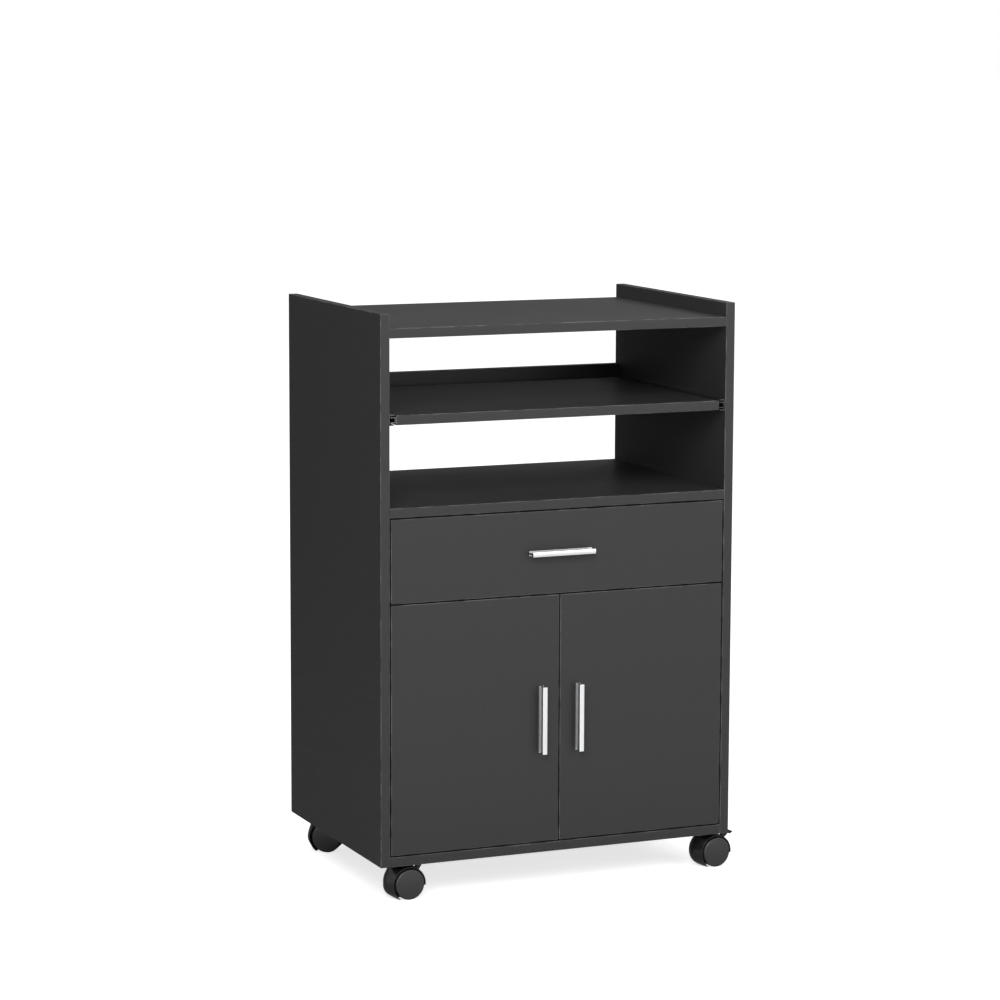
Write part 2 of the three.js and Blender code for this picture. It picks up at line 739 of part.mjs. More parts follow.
// Hood over both wheels, blended into the swivel pin's housing, with the wall between the wheels
// and the axle pressed through it.
function hood(braked) {
  const round = (x, radius, [from, to]) =>
    prism("y", circle(x, axleHeight, radius), [from, to], 20);
  const neck = prism("z", circle(0, 0, neckRadius), [axleHeight, neckTop], 10);
  const wheelRoom = [
    round(casterTrail - hoodLead, hoodInnerRadius, [hoodWebHalf, wheelOuterFace]),
    round(casterTrail - hoodLead, hoodInnerRadius, [-wheelOuterFace, -hoodWebHalf]),
  ];
  const leadingEnd = -noseRadius - 1;
  const trailingEnd = casterTrail + hoodOuterRadius + 1;
  const below = polygon([
    [leadingEnd, -hoodOuterRadius],
    [trailingEnd, -hoodOuterRadius],
    [trailingEnd, axleHeight + hoodTrailingRise],
    [casterTrail - hoodFlatEnd, hoodFloorGap],
    [leadingEnd, hoodFloorGap],
  ]);
  const underCut = prism("y", below, [-wheelOuterFace, wheelOuterFace]);
  const pinBottom = neckTop - kingpinLength - seatGap;
  const pinBore = prism("z", circle(0, 0, kingpinRadius + seatGap), [pinBottom, neckTop + 1], 10);
  const axleHalf = wheelInnerFace + wheelBoreDepth - seatGap;
  const blended = hull(hoodDrum(), nose(), neck);
  const shell = subtract(blended, ...wheelRoom, underCut, pinBore);
  const body = unite(shell, round(casterTrail, axleRadius, [-axleHalf, axleHalf]));
  return braked ? unite(subtract(body, pedalSlot()), pedalPin()) : body;
}

function pedalPivot() {
  const angle = THREE.MathUtils.degToRad(pedalPivotAngle);
  const x = casterTrail + pedalPivotRadius * Math.cos(angle);
  return [x, axleHeight + pedalPivotRadius * Math.sin(angle)];
}

// Slot through the hood and its middle wall, where the brake pedal swings.
function pedalSlot() {
  const [x, z] = pedalPivot();
  const half = pedalArmWidth / 2 + pedalSideGap;
  const room = pedalRootRadius + 1.6;
  const width = [x - room, x + room + pedalArmThickness / 2];
  const slot = roundedRectangle(width, [z - room, z + hoodOuterRadius], room - 0.1);
  return prism("y", slot, [-half, half], 5);
}

function pedalPin() {
  const [x, z] = pedalPivot();
  const half = pedalArmWidth / 2 + pedalSideGap + pedalPinSeat;
  return prism("y", circle(x, z, pedalPinRadius), [-half, half], 5);
}

// Brake pedal: an arm on its pin and a flat tread with a bevelled tip.
function brakePedal(pressed) {
  const [x, z] = pedalPivot();
  const treadUnder = pedalTreadTop - pedalTreadThickness;
  const armTop = (pedalTreadFront + pedalTreadTip - pedalTreadThickness) / 2;
  const lean = Math.atan2(treadUnder - z, armTop - x);
  const armHalf = pedalArmThickness / 2;
  const across = [Math.sin(lean) * armHalf, -Math.cos(lean) * armHalf];
  const arm = new THREE.Shape();
  arm.absarc(x, z, pedalRootRadius, lean + 0.3 * Math.PI, lean - 0.3 * Math.PI + 2 * Math.PI);
  arm.lineTo(armTop + across[0], treadUnder + across[1]);
  arm.lineTo(armTop + across[0], treadUnder + pedalTreadThickness / 2);
  arm.lineTo(armTop - across[0], treadUnder + pedalTreadThickness / 2);
  arm.lineTo(armTop - across[0], treadUnder - across[1]);
  arm.closePath();
  arm.holes.push(hole(x, z, pedalPinRadius + seatGap));
  const tread = new THREE.Shape();
  tread.moveTo(pedalTreadFront, treadUnder);
  tread.lineTo(pedalTreadTip - 0.7 * pedalTreadThickness, treadUnder);
  tread.lineTo(pedalTreadTip, pedalTreadTop - 0.25 * pedalTreadThickness);
  tread.quadraticCurveTo(pedalTreadTip, pedalTreadTop, pedalTreadTip - 1, pedalTreadTop);
  tread.lineTo(pedalTreadFront + 1, pedalTreadTop);
  tread.quadraticCurveTo(pedalTreadFront, pedalTreadTop, pedalTreadFront, treadUnder + 1);
  tread.closePath();
  const treadHalf = pedalTreadWidth / 2;
  const pedal = unite(
    prism("y", arm, [-pedalArmWidth / 2, pedalArmWidth / 2], 6),
    prism("y", tread, [-treadHalf, treadHalf], 3),
  );
  pedal.translate(-x, 0, -z);
  return pedal.rotateY(THREE.MathUtils.degToRad(pressed)).translate(x, 0, z);
}

function caster(end, side) {
  const name = `${end}_${side}`;
  const braked = end === "front";
  const swivelling = [
    part(`caster_hood_${name}`, hood(braked), blackNylon),
    part(`caster_wheel_front_${name}`, wheel(-1), wheelNylon),
    part(`caster_wheel_rear_${name}`, wheel(1), wheelNylon),
  ];
  if (braked) {
    swivelling.push(part(`brake_pedal_${name}`, brakePedal(pedalPressed[side]), blackNylon));
  }
  return { fixed: part(`caster_plate_${name}`, plateWithKingpin(), blackSteel), swivelling };
}

function casters() {
  const corners = new THREE.Group();
  for (const [end, y] of [["front", casterEndInset], ["rear", carcassDepth - casterEndInset]]) {
    for (const [name, side] of Object.entries(sides)) {
      const { fixed, swivelling } = caster(end, name);
      const corner = new THREE.Group();
      const swivel = new THREE.Group();
      corner.position.set(side * (halfWidth - casterSideInset), y, 0);
      swivel.rotation.z = THREE.MathUtils.degToRad(casterTurns[`${end}_${name}`]);
      swivel.add(...swivelling);
      corner.add(fixed, swivel);
      corners.add(corner);
    }
  }
  return corners;
}

// ---------------------------------------------------------------- the cart

const cart = new THREE.Group();
cart.add(...carcass());
cart.add(...pulloutShelf());
cart.add(...drawer());
for (const [name, side] of Object.entries(sides)) {
  cart.add(...door(name, side));
}
cart.add(casters());

// The footprint runs from the left side panel to the tip of the right brake pedal, and from the
// handles to the rear edges of the boards.
const footprint = new THREE.Box3().setFromObject(cart, true).getCenter(new THREE.Vector3());
cart.position.set(-footprint.x, -footprint.y, 0);

export default cart;
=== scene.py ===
"""Looks of the microwave cart: finished pieces, materials, camera, light and floor."""

import json
import math

import bmesh
import bpy
from mathutils import Matrix, Vector


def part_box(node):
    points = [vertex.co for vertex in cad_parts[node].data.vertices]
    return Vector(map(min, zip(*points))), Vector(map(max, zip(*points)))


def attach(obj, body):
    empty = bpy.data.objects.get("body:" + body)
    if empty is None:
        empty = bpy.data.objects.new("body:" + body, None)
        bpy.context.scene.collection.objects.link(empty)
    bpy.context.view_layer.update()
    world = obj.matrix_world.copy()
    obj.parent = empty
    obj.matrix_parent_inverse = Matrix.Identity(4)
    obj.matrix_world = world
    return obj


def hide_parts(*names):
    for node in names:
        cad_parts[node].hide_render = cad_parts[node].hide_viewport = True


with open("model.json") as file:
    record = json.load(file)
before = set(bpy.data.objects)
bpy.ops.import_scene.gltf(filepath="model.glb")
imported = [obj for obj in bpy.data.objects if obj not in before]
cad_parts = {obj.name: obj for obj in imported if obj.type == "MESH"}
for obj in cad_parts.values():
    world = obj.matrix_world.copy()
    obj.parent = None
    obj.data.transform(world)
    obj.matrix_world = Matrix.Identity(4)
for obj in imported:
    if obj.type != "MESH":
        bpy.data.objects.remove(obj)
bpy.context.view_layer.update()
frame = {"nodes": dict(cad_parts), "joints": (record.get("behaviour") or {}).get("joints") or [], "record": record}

MM = 0.001
SIDES = {"left": -1, "right": 1}
ENDS = ("front", "rear")
HINGE_LEVELS = ("lower", "upper")

nodes = frame["nodes"]
body_of = {n: b for b, group in frame["record"]["behaviour"]["bodies"].items() for n in group}
joint = {j["name"]: j for j in frame["joints"]}

# ------------------------------------------------------------------ sizes, in millimetres

BOARD_EDGE_RADIUS = 0.9
BOARD_EDGE_STEPS = 3
CUP_BORE_RADIUS = 17.8
CUP_BORE_DEPTH = 11.8
CUP_FROM_DOOR_EDGE = 21.5
CUP_BORE_SPARE = 1  # of the cutter, in front of the door's inner face

HANDLE_CROWN = 0.5
HANDLE_BASE = 2.0
HANDLE_WEB = 3.0
HANDLE_FACE = 2.2
HANDLE_SCREW_SPACING = 64
HANDLE_CROWN_STEPS = 12

WHEEL_RADIUS = 24
WHEEL_WIDTH = 15.5
WHEEL_EDGE = 2.6
WHEEL_EDGE_STEPS = 8
WHEEL_INNER_EDGE = 0.8
WHEEL_DOME = 1.0
WHEEL_DOME_STEPS = 6
WHEEL_HUB = 7
WHEEL_RECESS = 2.5
WHEEL_TREAD_WALL = 3
WHEEL_BORE = 3.3
WHEEL_BORE_DEPTH = 11
WHEEL_MIDDLE = 13.25  # wheel's middle to the caster's mid plane

TRAIL = 20
HOOD_MIDDLE = 18.7
HOOD_INNER = 26
HOOD_OUTER = 28.6
HOOD_CROWN = 1.2
HOOD_HALF = 19
HOOD_WEB_HALF = 5.2
HOOD_ROOM_END = 22  # of the cutters, beyond the hood's rims
HOOD_EDGE_END = 21
HOOD_LOWER_EDGE = ((-18, -30), (50, -30), (50, 24.2), (16, 2.2), (-18, 2.2))
NOSE_RADIUS = 15.7
NOSE_MIDDLE = 21.5
NOSE_BOTTOM = 4.8
NOSE_TOP = 46
NECK_RADIUS = 7.5
NECK_TOP = 53
KINGPIN_BORE = 4.3
KINGPIN_BORE_BOTTOM = 28.7
KINGPIN_BORE_TOP = 54
AXLE_RADIUS = 3
AXLE_HALF = 16.2
PEDAL_PIVOT = (36.185, 39.63)
PEDAL_PIN_RADIUS = 1.4
PEDAL_PIN_HALF = 5.1
PEDAL_SLOT = (30.985, 44.585)
PEDAL_SLOT_BOTTOM = 34.43
PEDAL_SLOT_HALF = 3.9
PEDAL_SLOT_CORNER = 5.1
PEDAL_SLOT_CORNER_STEPS = 8
PEDAL_SLOT_TOP = HOOD_OUTER * 3  # of the cutter, above the hood

PLATE_UNDERSIDE = 55.5
PLATE_SCREW_REACH = 16
ARM_PLATE_THICKNESS = 2.5
ARM_SCREW_REACH = 18
ARM_SCREW_Y = 51
CUP_SCREW_REACH = 24
NAIL_PITCH = 95
NAIL_INSET = 9
SCREW_HEAD_RADIUS = 3.3
SCREW_HEAD_HEIGHT = 1.3
NAIL_HEAD_RADIUS = 2.0
NAIL_HEAD_HEIGHT = 0.6
HEAD_RIM = 0.35  # upright part of a head, to its height
HEAD_DOME_STEPS = 4
RECESS_REACH = 0.55  # cross recess, to the head's radius
RECESS_HALF_WIDTH = 0.16
RECESS_FLOOR = 0.3  # to the head's height

SHEET_BEVEL = 0.3
HANDLE_BEVEL = 0.35
RAIL_BEVEL = 0.28
CAGE_BEVEL = 0.1
HINGE_BEVEL = 0.25
PLATE_BEVEL = 0.3
HOOD_BEVEL = 0.35
PEDAL_BEVEL = 0.45

# ------------------------------------------------------------------ mesh limits, in degrees and metres

SMOOTH_LIMIT = 35
BEVEL_LIMIT = 40
FLAT_LIMIT = 0.5
WELD_DISTANCE = 1.5e-5
POINT_RADIUS = 1e-6  # in millimetres; a smaller ring is made as one point
ALONG_AXIS = 0.9  # cosine from which a direction counts as an axis's
FLAT_FACE = 0.999  # the same for a board's large faces

# ------------------------------------------------------------------ looks

GRAIN_FINE_PART = 0.65  # of the grain's height
GRAIN_BROAD_PART = 0.35
GRAIN_BROAD_SIZE = 0.23  # broad grain's frequency, to the fine one's
GRAIN_SPECKLE_RANGE = (0.42, 0.68)
GRAIN_STRENGTH = 0.35
SPECKLE_GAIN = 1.6
SPECKLE_LIFT = 0.004
SMEAR_STRETCH = (6.0, 6.0, 34.0)
SMEAR_FREQUENCY = 1.3
DUST_SLOPE_RANGE = (0.7, 1.0)  # upward part of the normal
DUST_CLOUD_RANGE = (0.35, 0.75)
DUST_FREQUENCY = 5.0
DUST_COLOR = (0.32, 0.31, 0.3, 1.0)
DUST_ROUGHNESS = 0.25
RUB_RANGE = (0.38, 0.62)
RUB_FREQUENCY = 38.0
RUBBED_COLOR = (0.2, 0.2, 0.21, 1.0)
BRUSH_BAND_SIZE = 0.14  # bands' frequency, to the lines'
BRUSH_STREAK_RANGE = (0.7, 1.3)
BRUSH_STRENGTH = 0.25
BRUSH_ROUGHNESS = (1.25, 0.85)  # between streaks and in them, to the metal's own
METAL_SMEARS = 0.12
METAL_DUST = 0.02
# Painted shade in a handle's channel between its flanges and on faces turned to the front it stands on
CHANNEL_SHADE_TONE = 0.25  # to the bar's own colour
CHANNEL_FLANGE = 1.26  # depth that still counts as the outer flange, to its thickness
# painted shade on part of the base's outward face
CHANNEL_BASE_SHADE = 0.25
CHANNEL_BASE_LAP = 0.1  # millimetres

# Sockets of a colour mix node
MIX_FACTOR, MIX_FIRST, MIX_SECOND = 0, 6, 7
MIX_RESULT = 2


# ------------------------------------------------------------------ mesh helpers


def mesh_from(bm, name):
    """Ends a bmesh as a mesh with smooth faces, and sharp edges where it turns by much."""
    bmesh.ops.recalc_face_normals(bm, faces=bm.faces)
    for face in bm.faces:
        face.smooth = True
    for edge in bm.edges:
        paired = len(edge.link_faces) == 2
        edge.smooth = paired and edge.calc_face_angle() < math.radians(SMOOTH_LIMIT)
    mesh = bpy.data.meshes.new(name)
    bm.to_mesh(mesh)
    bm.free()
    return mesh


def temporary(mesh):
    """Object that lasts only while a modifier needs it."""
    obj = bpy.data.objects.new("temporary", mesh)
    bpy.context.scene.collection.objects.link(obj)
    return obj


def evaluated_mesh(obj):
    """Mesh that an object's modifiers lead to."""
    bpy.context.view_layer.update()
    graph = bpy.context.evaluated_depsgraph_get()
    return bpy.data.meshes.new_from_object(obj.evaluated_get(graph))


def combined(mesh, others, operation):
    """Solid of one mesh joined with, or cut by, others."""
    base = temporary(mesh)
    tools = [temporary(other) for other in others]
    for tool in tools:
        step = base.modifiers.new("step", "BOOLEAN")
        step.operation = operation
        step.solver = "EXACT"
        step.object = tool
    result = evaluated_mesh(base)
    for obj in [base, *tools]:
        bpy.data.objects.remove(obj)
    return result


def round_edges(bm, edges, width, steps):
    """Rounds some edges of a bmesh; the width is in millimetres."""
    bmesh.ops.bevel(
        bm,
        geom=edges,
        offset=width * MM,
        segments=steps,
        profile=0.5,
        affect="EDGES",
        clamp_overlap=True,
    )


def bevelled(mesh, width, steps=2, merge_flat=True):
    """Breaks the hard edges of a solid, as a rule after merging faces that lie in one plane."""
    bm = bmesh.new()
    bm.from_mesh(mesh)
    bmesh.ops.remove_doubles(bm, verts=bm.verts, dist=WELD_DISTANCE)
    if merge_flat:
        flat = math.radians(FLAT_LIMIT)
        bmesh.ops.dissolve_limit(bm, angle_limit=flat, verts=bm.verts, edges=bm.edges)
    limit = math.radians(BEVEL_LIMIT)
    hard = [e for e in bm.edges if len(e.link_faces) == 2 and e.calc_face_angle() > limit]
    round_edges(bm, hard, width, steps)
    return mesh_from(bm, mesh.name)


def turned(profile, steps, name):
    """Solid turned about the Y axis from (radius, y) points in millimetres."""
    bm = bmesh.new()
    rings = []
    for radius, y in profile:
        if radius < POINT_RADIUS:
            rings.append([bm.verts.new((0, y * MM, 0))])
            continue
        ring = []
        for i in range(steps):
            angle = 2 * math.pi * i / steps
            x = radius * math.cos(angle) * MM
            z = radius * math.sin(angle) * MM
            ring.append(bm.verts.new((x, y * MM, z)))
        rings.append(ring)
    for a, b in zip(rings, rings[1:]):
        for i in range(steps):
            j = (i + 1) % steps
            corners = [a[i % len(a)], a[j % len(a)], b[j % len(b)], b[i % len(b)]]
            unique = list(dict.fromkeys(corners))
            if len(unique) > 2:
                bm.faces.new(unique)
    return mesh_from(bm, name)


def extruded(points, low, high, axis, name):
    """Prism of a polygon along an axis; points are (Y, Z), (X, Z) or (X, Y) in millimetres."""
    place = {
        "x": lambda p, t: (t, p[0], p[1]),
        "y": lambda p, t: (p[0], t, p[1]),
        "z": lambda p, t: (p[0], p[1], t),
    }[axis]
    bm = bmesh.new()
    ends = [[bm.verts.new(Vector(place(p, t)) * MM) for p in points] for t in (low, high)]
    bm.faces.new(ends[0])
    bm.faces.new(list(reversed(ends[1])))
    for i in range(len(points)):
        j = (i + 1) % len(points)
        bm.faces.new([ends[0][j], ends[0][i], ends[1][i], ends[1][j]])
    return mesh_from(bm, name)


def cylinder(first, second, radius, low, high, axis="y", steps=96):
    """Round prism along an axis, its middle given on the two other axes."""
    points = []
    for i in range(steps):
        angle = 2 * math.pi * i / steps
        points.append((first + radius * math.cos(angle), second + radius * math.sin(angle)))
    return extruded(points, low, high, axis, "round")


def moved(mesh, matrix):
    """The same mesh, moved by a matrix."""
    mesh.transform(matrix)
    return mesh


def finished(name, mesh, stands_for, material, body=None):
    """Puts a finished mesh in the scene in place of CAD nodes, on their body."""
    mesh.materials.clear()
    mesh.materials.append(material)
    obj = bpy.data.objects.new(name, mesh)
    bpy.context.scene.collection.objects.link(obj)
    even = obj.modifiers.new("even_shading", "WEIGHTED_NORMAL")
    even.keep_sharp = True
    even.weight = 100
    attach(obj, body or body_of[stands_for[0]])
    if stands_for:
        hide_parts(*stands_for)
    return obj


def cad_copy(node):
    """Copy of a CAD node's mesh without its materials."""
    mesh = nodes[node].data.copy()
    mesh.materials.clear()
    return mesh


# ------------------------------------------------------------------ shader helpers


class Wires:
    """Places and links the nodes of one tree."""

    def __init__(self, tree):
        self.tree = tree

    def node(self, kind, inputs=None, **settings):
        made = self.tree.nodes.new(kind)
        for key, value in settings.items():
            setattr(made, key, value)
        for key, value in (inputs or {}).items():
            self.feed(made.inputs[key], value)
        return made

    def feed(self, socket, value):
        if isinstance(value, bpy.types.NodeSocket):
            self.tree.links.new(value, socket)
        else:
            socket.default_value = value

    def math(self, operation, a, b=0.0, clamp=False):
        made = self.node("ShaderNodeMath", {0: a, 1: b}, operation=operation, use_clamp=clamp)
        return made.outputs[0]

    def ramp(self, value, low, high, to_low=0.0, to_high=1.0):
        """Value taken from one range to another, and held within it."""
        given = {"Value": value, "From Min": low, "From Max": high}
        given.update({"To Min": to_low, "To Max": to_high})
        return self.node("ShaderNodeMapRange", given).outputs[0]

    def blend(self, factor, first, second):
        given = {MIX_FACTOR: factor, MIX_FIRST: first, MIX_SECOND: second}
        return self.node("ShaderNodeMix", given, data_type="RGBA").outputs[MIX_RESULT]

    def noise(self, vector, scale, detail=2.0, roughness=0.5, distortion=0.0):
        given = {"Vector": vector, "Scale": scale, "Detail": detail}
        given.update({"Roughness": roughness, "Distortion": distortion})
        return self.node("ShaderNodeTexNoise", given).outputs["Fac"]

    def object_place(self):
        return self.node("ShaderNodeTexCoord").outputs["Object"]

    def stretched(self, vector, factors):
        """Vector times one factor on each axis."""
        given = {0: vector, 1: factors}
        return self.node("ShaderNodeVectorMath", given, operation="MULTIPLY").outputs[0]

    def face_mask(self, name):
        """Value of a face attribute, nought on a mesh without it."""
        return self.node("ShaderNodeAttribute", attribute_name=name).outputs["Fac"]

    def product(self, a, b, clamp=False):
        return self.math("MULTIPLY", a, b, clamp)


def effect_group(name, inputs, outputs):
    """Empty shader group; inputs are (name, kind, value), outputs are (name, kind)."""
    tree = bpy.data.node_groups.new(name, "ShaderNodeTree")
    for label, kind, value in inputs:
        socket = tree.interface.new_socket(label, in_out="INPUT", socket_type=kind)
        socket.default_value = value
    for label, kind in outputs:
        tree.interface.new_socket(label, in_out="OUTPUT", socket_type=kind)
    wires = Wires(tree)
    entry = wires.node("NodeGroupInput")
    leave = wires.node("NodeGroupOutput")
    return tree, wires, entry.outputs, leave.inputs


def grain_group():
    """Fine embossed grain of pressed or moulded surfaces, as a height and a speckle mask."""
    tree, w, given, out = effect_group(
        "grain",
        [
            ("Size", "NodeSocketFloat", 900.0),
            ("Speckle", "NodeSocketFloat", 0.3),
            ("Stretch", "NodeSocketVector", (1.0, 1.0, 1.0)),
        ],
        [("Height", "NodeSocketFloat"), ("Mask", "NodeSocketFloat")],
    )
    place = w.stretched(w.object_place(), given["Stretch"])
    fine = w.noise(place, given["Size"], detail=3.0, roughness=0.6)
    broad = w.noise(place, w.product(given["Size"], GRAIN_BROAD_SIZE))
    height = w.math("ADD", w.product(fine, GRAIN_FINE_PART), w.product(broad, GRAIN_BROAD_PART))
    w.feed(out["Height"], height)
    speck = w.ramp(fine, *GRAIN_SPECKLE_RANGE)
    w.feed(out["Mask"], w.product(speck, given["Speckle"], clamp=True))
    return tree


def handling_group():
    """Wiped smears, dust on top faces and rubbed edges, as changes of colour and roughness."""
    tree, w, given, out = effect_group(
        "handling",
        [
            ("Color", "NodeSocketColor", (0.5, 0.5, 0.5, 1.0)),
            ("Roughness", "NodeSocketFloat", 0.5),
            ("Smears", "NodeSocketFloat", 0.1),
            ("Dust", "NodeSocketFloat", 0.1),
            ("Worn edges", "NodeSocketFloat", 0.3),
        ],
        [("Color", "NodeSocketColor"), ("Roughness", "NodeSocketFloat")],
    )
    place = w.object_place()
    normal = w.node("ShaderNodeNewGeometry").outputs["Normal"]
    up = w.node("ShaderNodeSeparateXYZ", {0: normal}).outputs["Z"]
    wiped = w.noise(
        w.stretched(place, SMEAR_STRETCH), SMEAR_FREQUENCY, detail=4.0, roughness=0.62,
        distortion=0.9,
    )
    smear = w.math("SUBTRACT", wiped, 0.5)
    rough = w.math("ADD", given["Roughness"], w.product(smear, given["Smears"]))
    cloud = w.noise(place, DUST_FREQUENCY, detail=4.0, roughness=0.6, distortion=0.6)
    settled = w.product(w.ramp(up, *DUST_SLOPE_RANGE), w.ramp(cloud, *DUST_CLOUD_RANGE), clamp=True)
    dust = w.product(settled, given["Dust"], clamp=True)
    rub = w.ramp(w.noise(place, RUB_FREQUENCY, detail=3.0, roughness=0.65), *RUB_RANGE)
    worn = w.product(w.product(w.face_mask("edge"), rub), given["Worn edges"], clamp=True)
    rubbed = w.blend(worn, given["Color"], RUBBED_COLOR)
    w.feed(out["Color"], w.blend(dust, rubbed, DUST_COLOR))
    w.feed(out["Roughness"], w.math("ADD", rough, w.product(dust, DUST_ROUGHNESS), clamp=True))
    return tree


def brush_group():
    """Fine straight brush lines along one axis, as a height and a streak mask."""
    tree, w, given, out = effect_group(
        "brush_lines",
        [
            ("Across", "NodeSocketVector", (1.0, 1.0, 0.01)),
            ("Size", "NodeSocketFloat", 2600.0),
        ],
        [("Height", "NodeSocketFloat"), ("Streak", "NodeSocketFloat")],
    )
    place = w.stretched(w.object_place(), given["Across"])
    lines = w.noise(place, given["Size"], detail=3.0, roughness=0.7)
    bands = w.noise(place, w.product(given["Size"], BRUSH_BAND_SIZE))
    w.feed(out["Height"], lines)
    w.feed(out["Streak"], w.ramp(w.math("ADD", lines, bands), *BRUSH_STREAK_RANGE))
    return tree


GRAIN = grain_group()
HANDLING = handling_group()
BRUSH = brush_group()


def surface(name, **fixed):
    """Material with a Principled BSDF whose plain values are set on its own sockets."""
    material = bpy.data.materials.new(name)
    material.use_nodes = True
    w = Wires(material.node_tree)
    shader = material.node_tree.nodes["Principled BSDF"]
    for label, value in fixed.items():
        shader.inputs[label.replace("_", " ")].default_value = value
    return material, w, shader


def placed_group(w, tree, **inputs):
    """Outputs of a shader group placed in a material."""
    made = w.node("ShaderNodeGroup", node_tree=tree)
    for label, value in inputs.items():
        w.feed(made.inputs[label.replace("_", " ")], value)
    return made.outputs


def dressed_up(w, shader, height, strength, depth, **handling):
    """Feeds a shader from the handling group and a bump; the depth is in millimetres."""
    used = placed_group(w, HANDLING, **handling)
    w.feed(shader.inputs["Base Color"], used["Color"])
    w.feed(shader.inputs["Roughness"], used["Roughness"])
    relief = {"Height": height, "Strength": strength, "Distance": depth * MM}
    w.feed(shader.inputs["Normal"], w.node("ShaderNodeBump", relief).outputs["Normal"])


def grained_surface(name, color, roughness, grain, speckle, smears, dust, worn, depth, **fixed):
    """Board, coating or plastic: an embossed grain with speckle, smears, dust and rubbed edges."""
    material, w, shader = surface(name, **fixed)
    emboss = placed_group(w, GRAIN, Size=grain, Speckle=speckle)
    lighter = tuple(min(1.0, c * SPECKLE_GAIN + SPECKLE_LIFT) for c in color)
    mottled = w.blend(emboss["Mask"], (*color, 1.0), (*lighter, 1.0))
    dressed_up(
        w, shader, emboss["Height"], GRAIN_STRENGTH, depth,
        Color=mottled, Roughness=roughness, Smears=smears, Dust=dust, Worn_edges=worn,
    )
    return material


def metal_surface(name, color, roughness, across, size, depth, spread):
    """Bare metal with brush or rolling lines that vary its tone and roughness; faces that a face attribute marks
    take a much darker tone of painted shade.
    """
    material, w, shader = surface(name, Metallic=1.0)
    lines = placed_group(w, BRUSH, Across=across, Size=size)
    darker = tuple(c * (1 - spread) for c in color)
    bright = w.blend(lines["Streak"], (*darker, 1.0), (*color, 1.0))
    # Painted shade: faces marked between a bar's flanges turn much darker.
    shaded_tone = tuple(c * CHANNEL_SHADE_TONE for c in color)
    tone = w.blend(w.face_mask("painted_channel_shade"), bright, (*shaded_tone, 1.0))
    rough = w.ramp(lines["Streak"], 0.0, 1.0, *(roughness * share for share in BRUSH_ROUGHNESS))
    dressed_up(
        w, shader, lines["Height"], BRUSH_STRENGTH, depth,
        Color=tone, Roughness=rough, Smears=METAL_SMEARS, Dust=METAL_DUST, Worn_edges=0.0,
    )
    return material


ANTHRACITE = grained_surface(
    "anthracite_melamine", (0.0295, 0.0295, 0.0305), roughness=0.4, grain=1100.0, speckle=0.3,
    smears=0.1, dust=0.03, worn=0.6, depth=0.03, Specular_IOR_Level=0.28,
)
HARDBOARD = grained_surface(
    "dark_hardboard", (0.03, 0.029, 0.029), roughness=0.62, grain=420.0, speckle=0.6,
    smears=0.16, dust=0.06, worn=0.1, depth=0.05,
)
BLACK_STEEL = grained_surface(
    "black_coated_steel", (0.014, 0.014, 0.015), roughness=0.36, grain=1500.0, speckle=0.2,
    smears=0.12, dust=0.02, worn=1.0, depth=0.01,
)
BLACK_NYLON = grained_surface(
    "black_nylon", (0.008, 0.008, 0.0085), roughness=0.3, grain=2200.0, speckle=0.25,
    smears=0.12, dust=0.03, worn=0.3, depth=0.015, Specular_IOR_Level=0.4,
)
WHEEL_NYLON = grained_surface(
    "grey_wheel_nylon", (0.027, 0.027, 0.028), roughness=0.32, grain=1900.0, speckle=0.3,
    smears=0.14, dust=0.03, worn=0.2, depth=0.015, Specular_IOR_Level=0.5,
)
ALUMINIUM_UPRIGHT = metal_surface(
    "satin_aluminium_upright", (0.8, 0.805, 0.81), roughness=0.3,
    across=(1.0, 1.0, 0.01), size=2600.0, depth=0.004, spread=0.1,
)
# The same satin aluminium as the upright bars, its brush lines turned, but with a darker colour: painted shade
# that tones down how brightly the lying drawer handle is lit.
ALUMINIUM_LYING_PAINTED_DARKER = metal_surface(
    "satin_aluminium_lying_painted_darker", (0.72, 0.725, 0.73), roughness=0.3,
    across=(0.01, 1.0, 1.0), size=2600.0, depth=0.004, spread=0.1,
)
ZINC_STEEL = metal_surface(
    "zinc_plated_steel", (0.62, 0.64, 0.66), roughness=0.26,
    across=(1.0, 0.05, 1.0), size=1400.0, depth=0.004, spread=0.25,
)
NICKEL_STEEL = metal_surface(
    "nickel_plated_steel", (0.58, 0.57, 0.55), roughness=0.22,
    across=(1.0, 0.3, 1.0), size=900.0, depth=0.003, spread=0.18,
)


# ------------------------------------------------------------------ boards


def board_mesh(low, high, along=None):
    """Board with all edges rounded, or only those that run along one axis."""
    bm = bmesh.new()
    bmesh.ops.create_cube(bm, size=1)
    for v in bm.verts:
        v.co = Vector([low[i] if v.co[i] < 0 else high[i] for i in range(3)])

    def runs(edge):
        line = (edge.verts[0].co - edge.verts[1].co).normalized()
        return along is None or abs(line[along]) > ALONG_AXIS

    round_edges(bm, [e for e in bm.edges if runs(e)], BOARD_EDGE_RADIUS, BOARD_EDGE_STEPS)
    edge = bm.faces.layers.float.new("edge")
    for face in bm.faces:
        face.normal_update()
        face[edge] = 0.0 if max(abs(c) for c in face.normal) > FLAT_FACE else 1.0
    return mesh_from(bm, "board")


def board(node, along=None):
    """Melamine board in the place of a CAD board."""
    low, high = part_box(node)
    finished(f"{node}_board", board_mesh(low, high, along), [node], ANTHRACITE)


def boards():
    """All boards without bores, and the two hardboard sheets."""
    for side in SIDES:
        board(f"side_panel_{side}")
        board(f"drawer_side_{side}", along=1)
    for shelf in ("top_shelf", "middle_shelf", "bottom_panel", "rear_rail"):
        board(shelf, along=0)
    for whole in ("pullout_shelf", "drawer_front", "drawer_back"):
        board(whole)
    for sheet in ("back_panel", "drawer_bottom"):
        mesh = bevelled(cad_copy(sheet), SHEET_BEVEL)
        finished(f"{sheet}_sheet", mesh, [sheet], HARDBOARD)


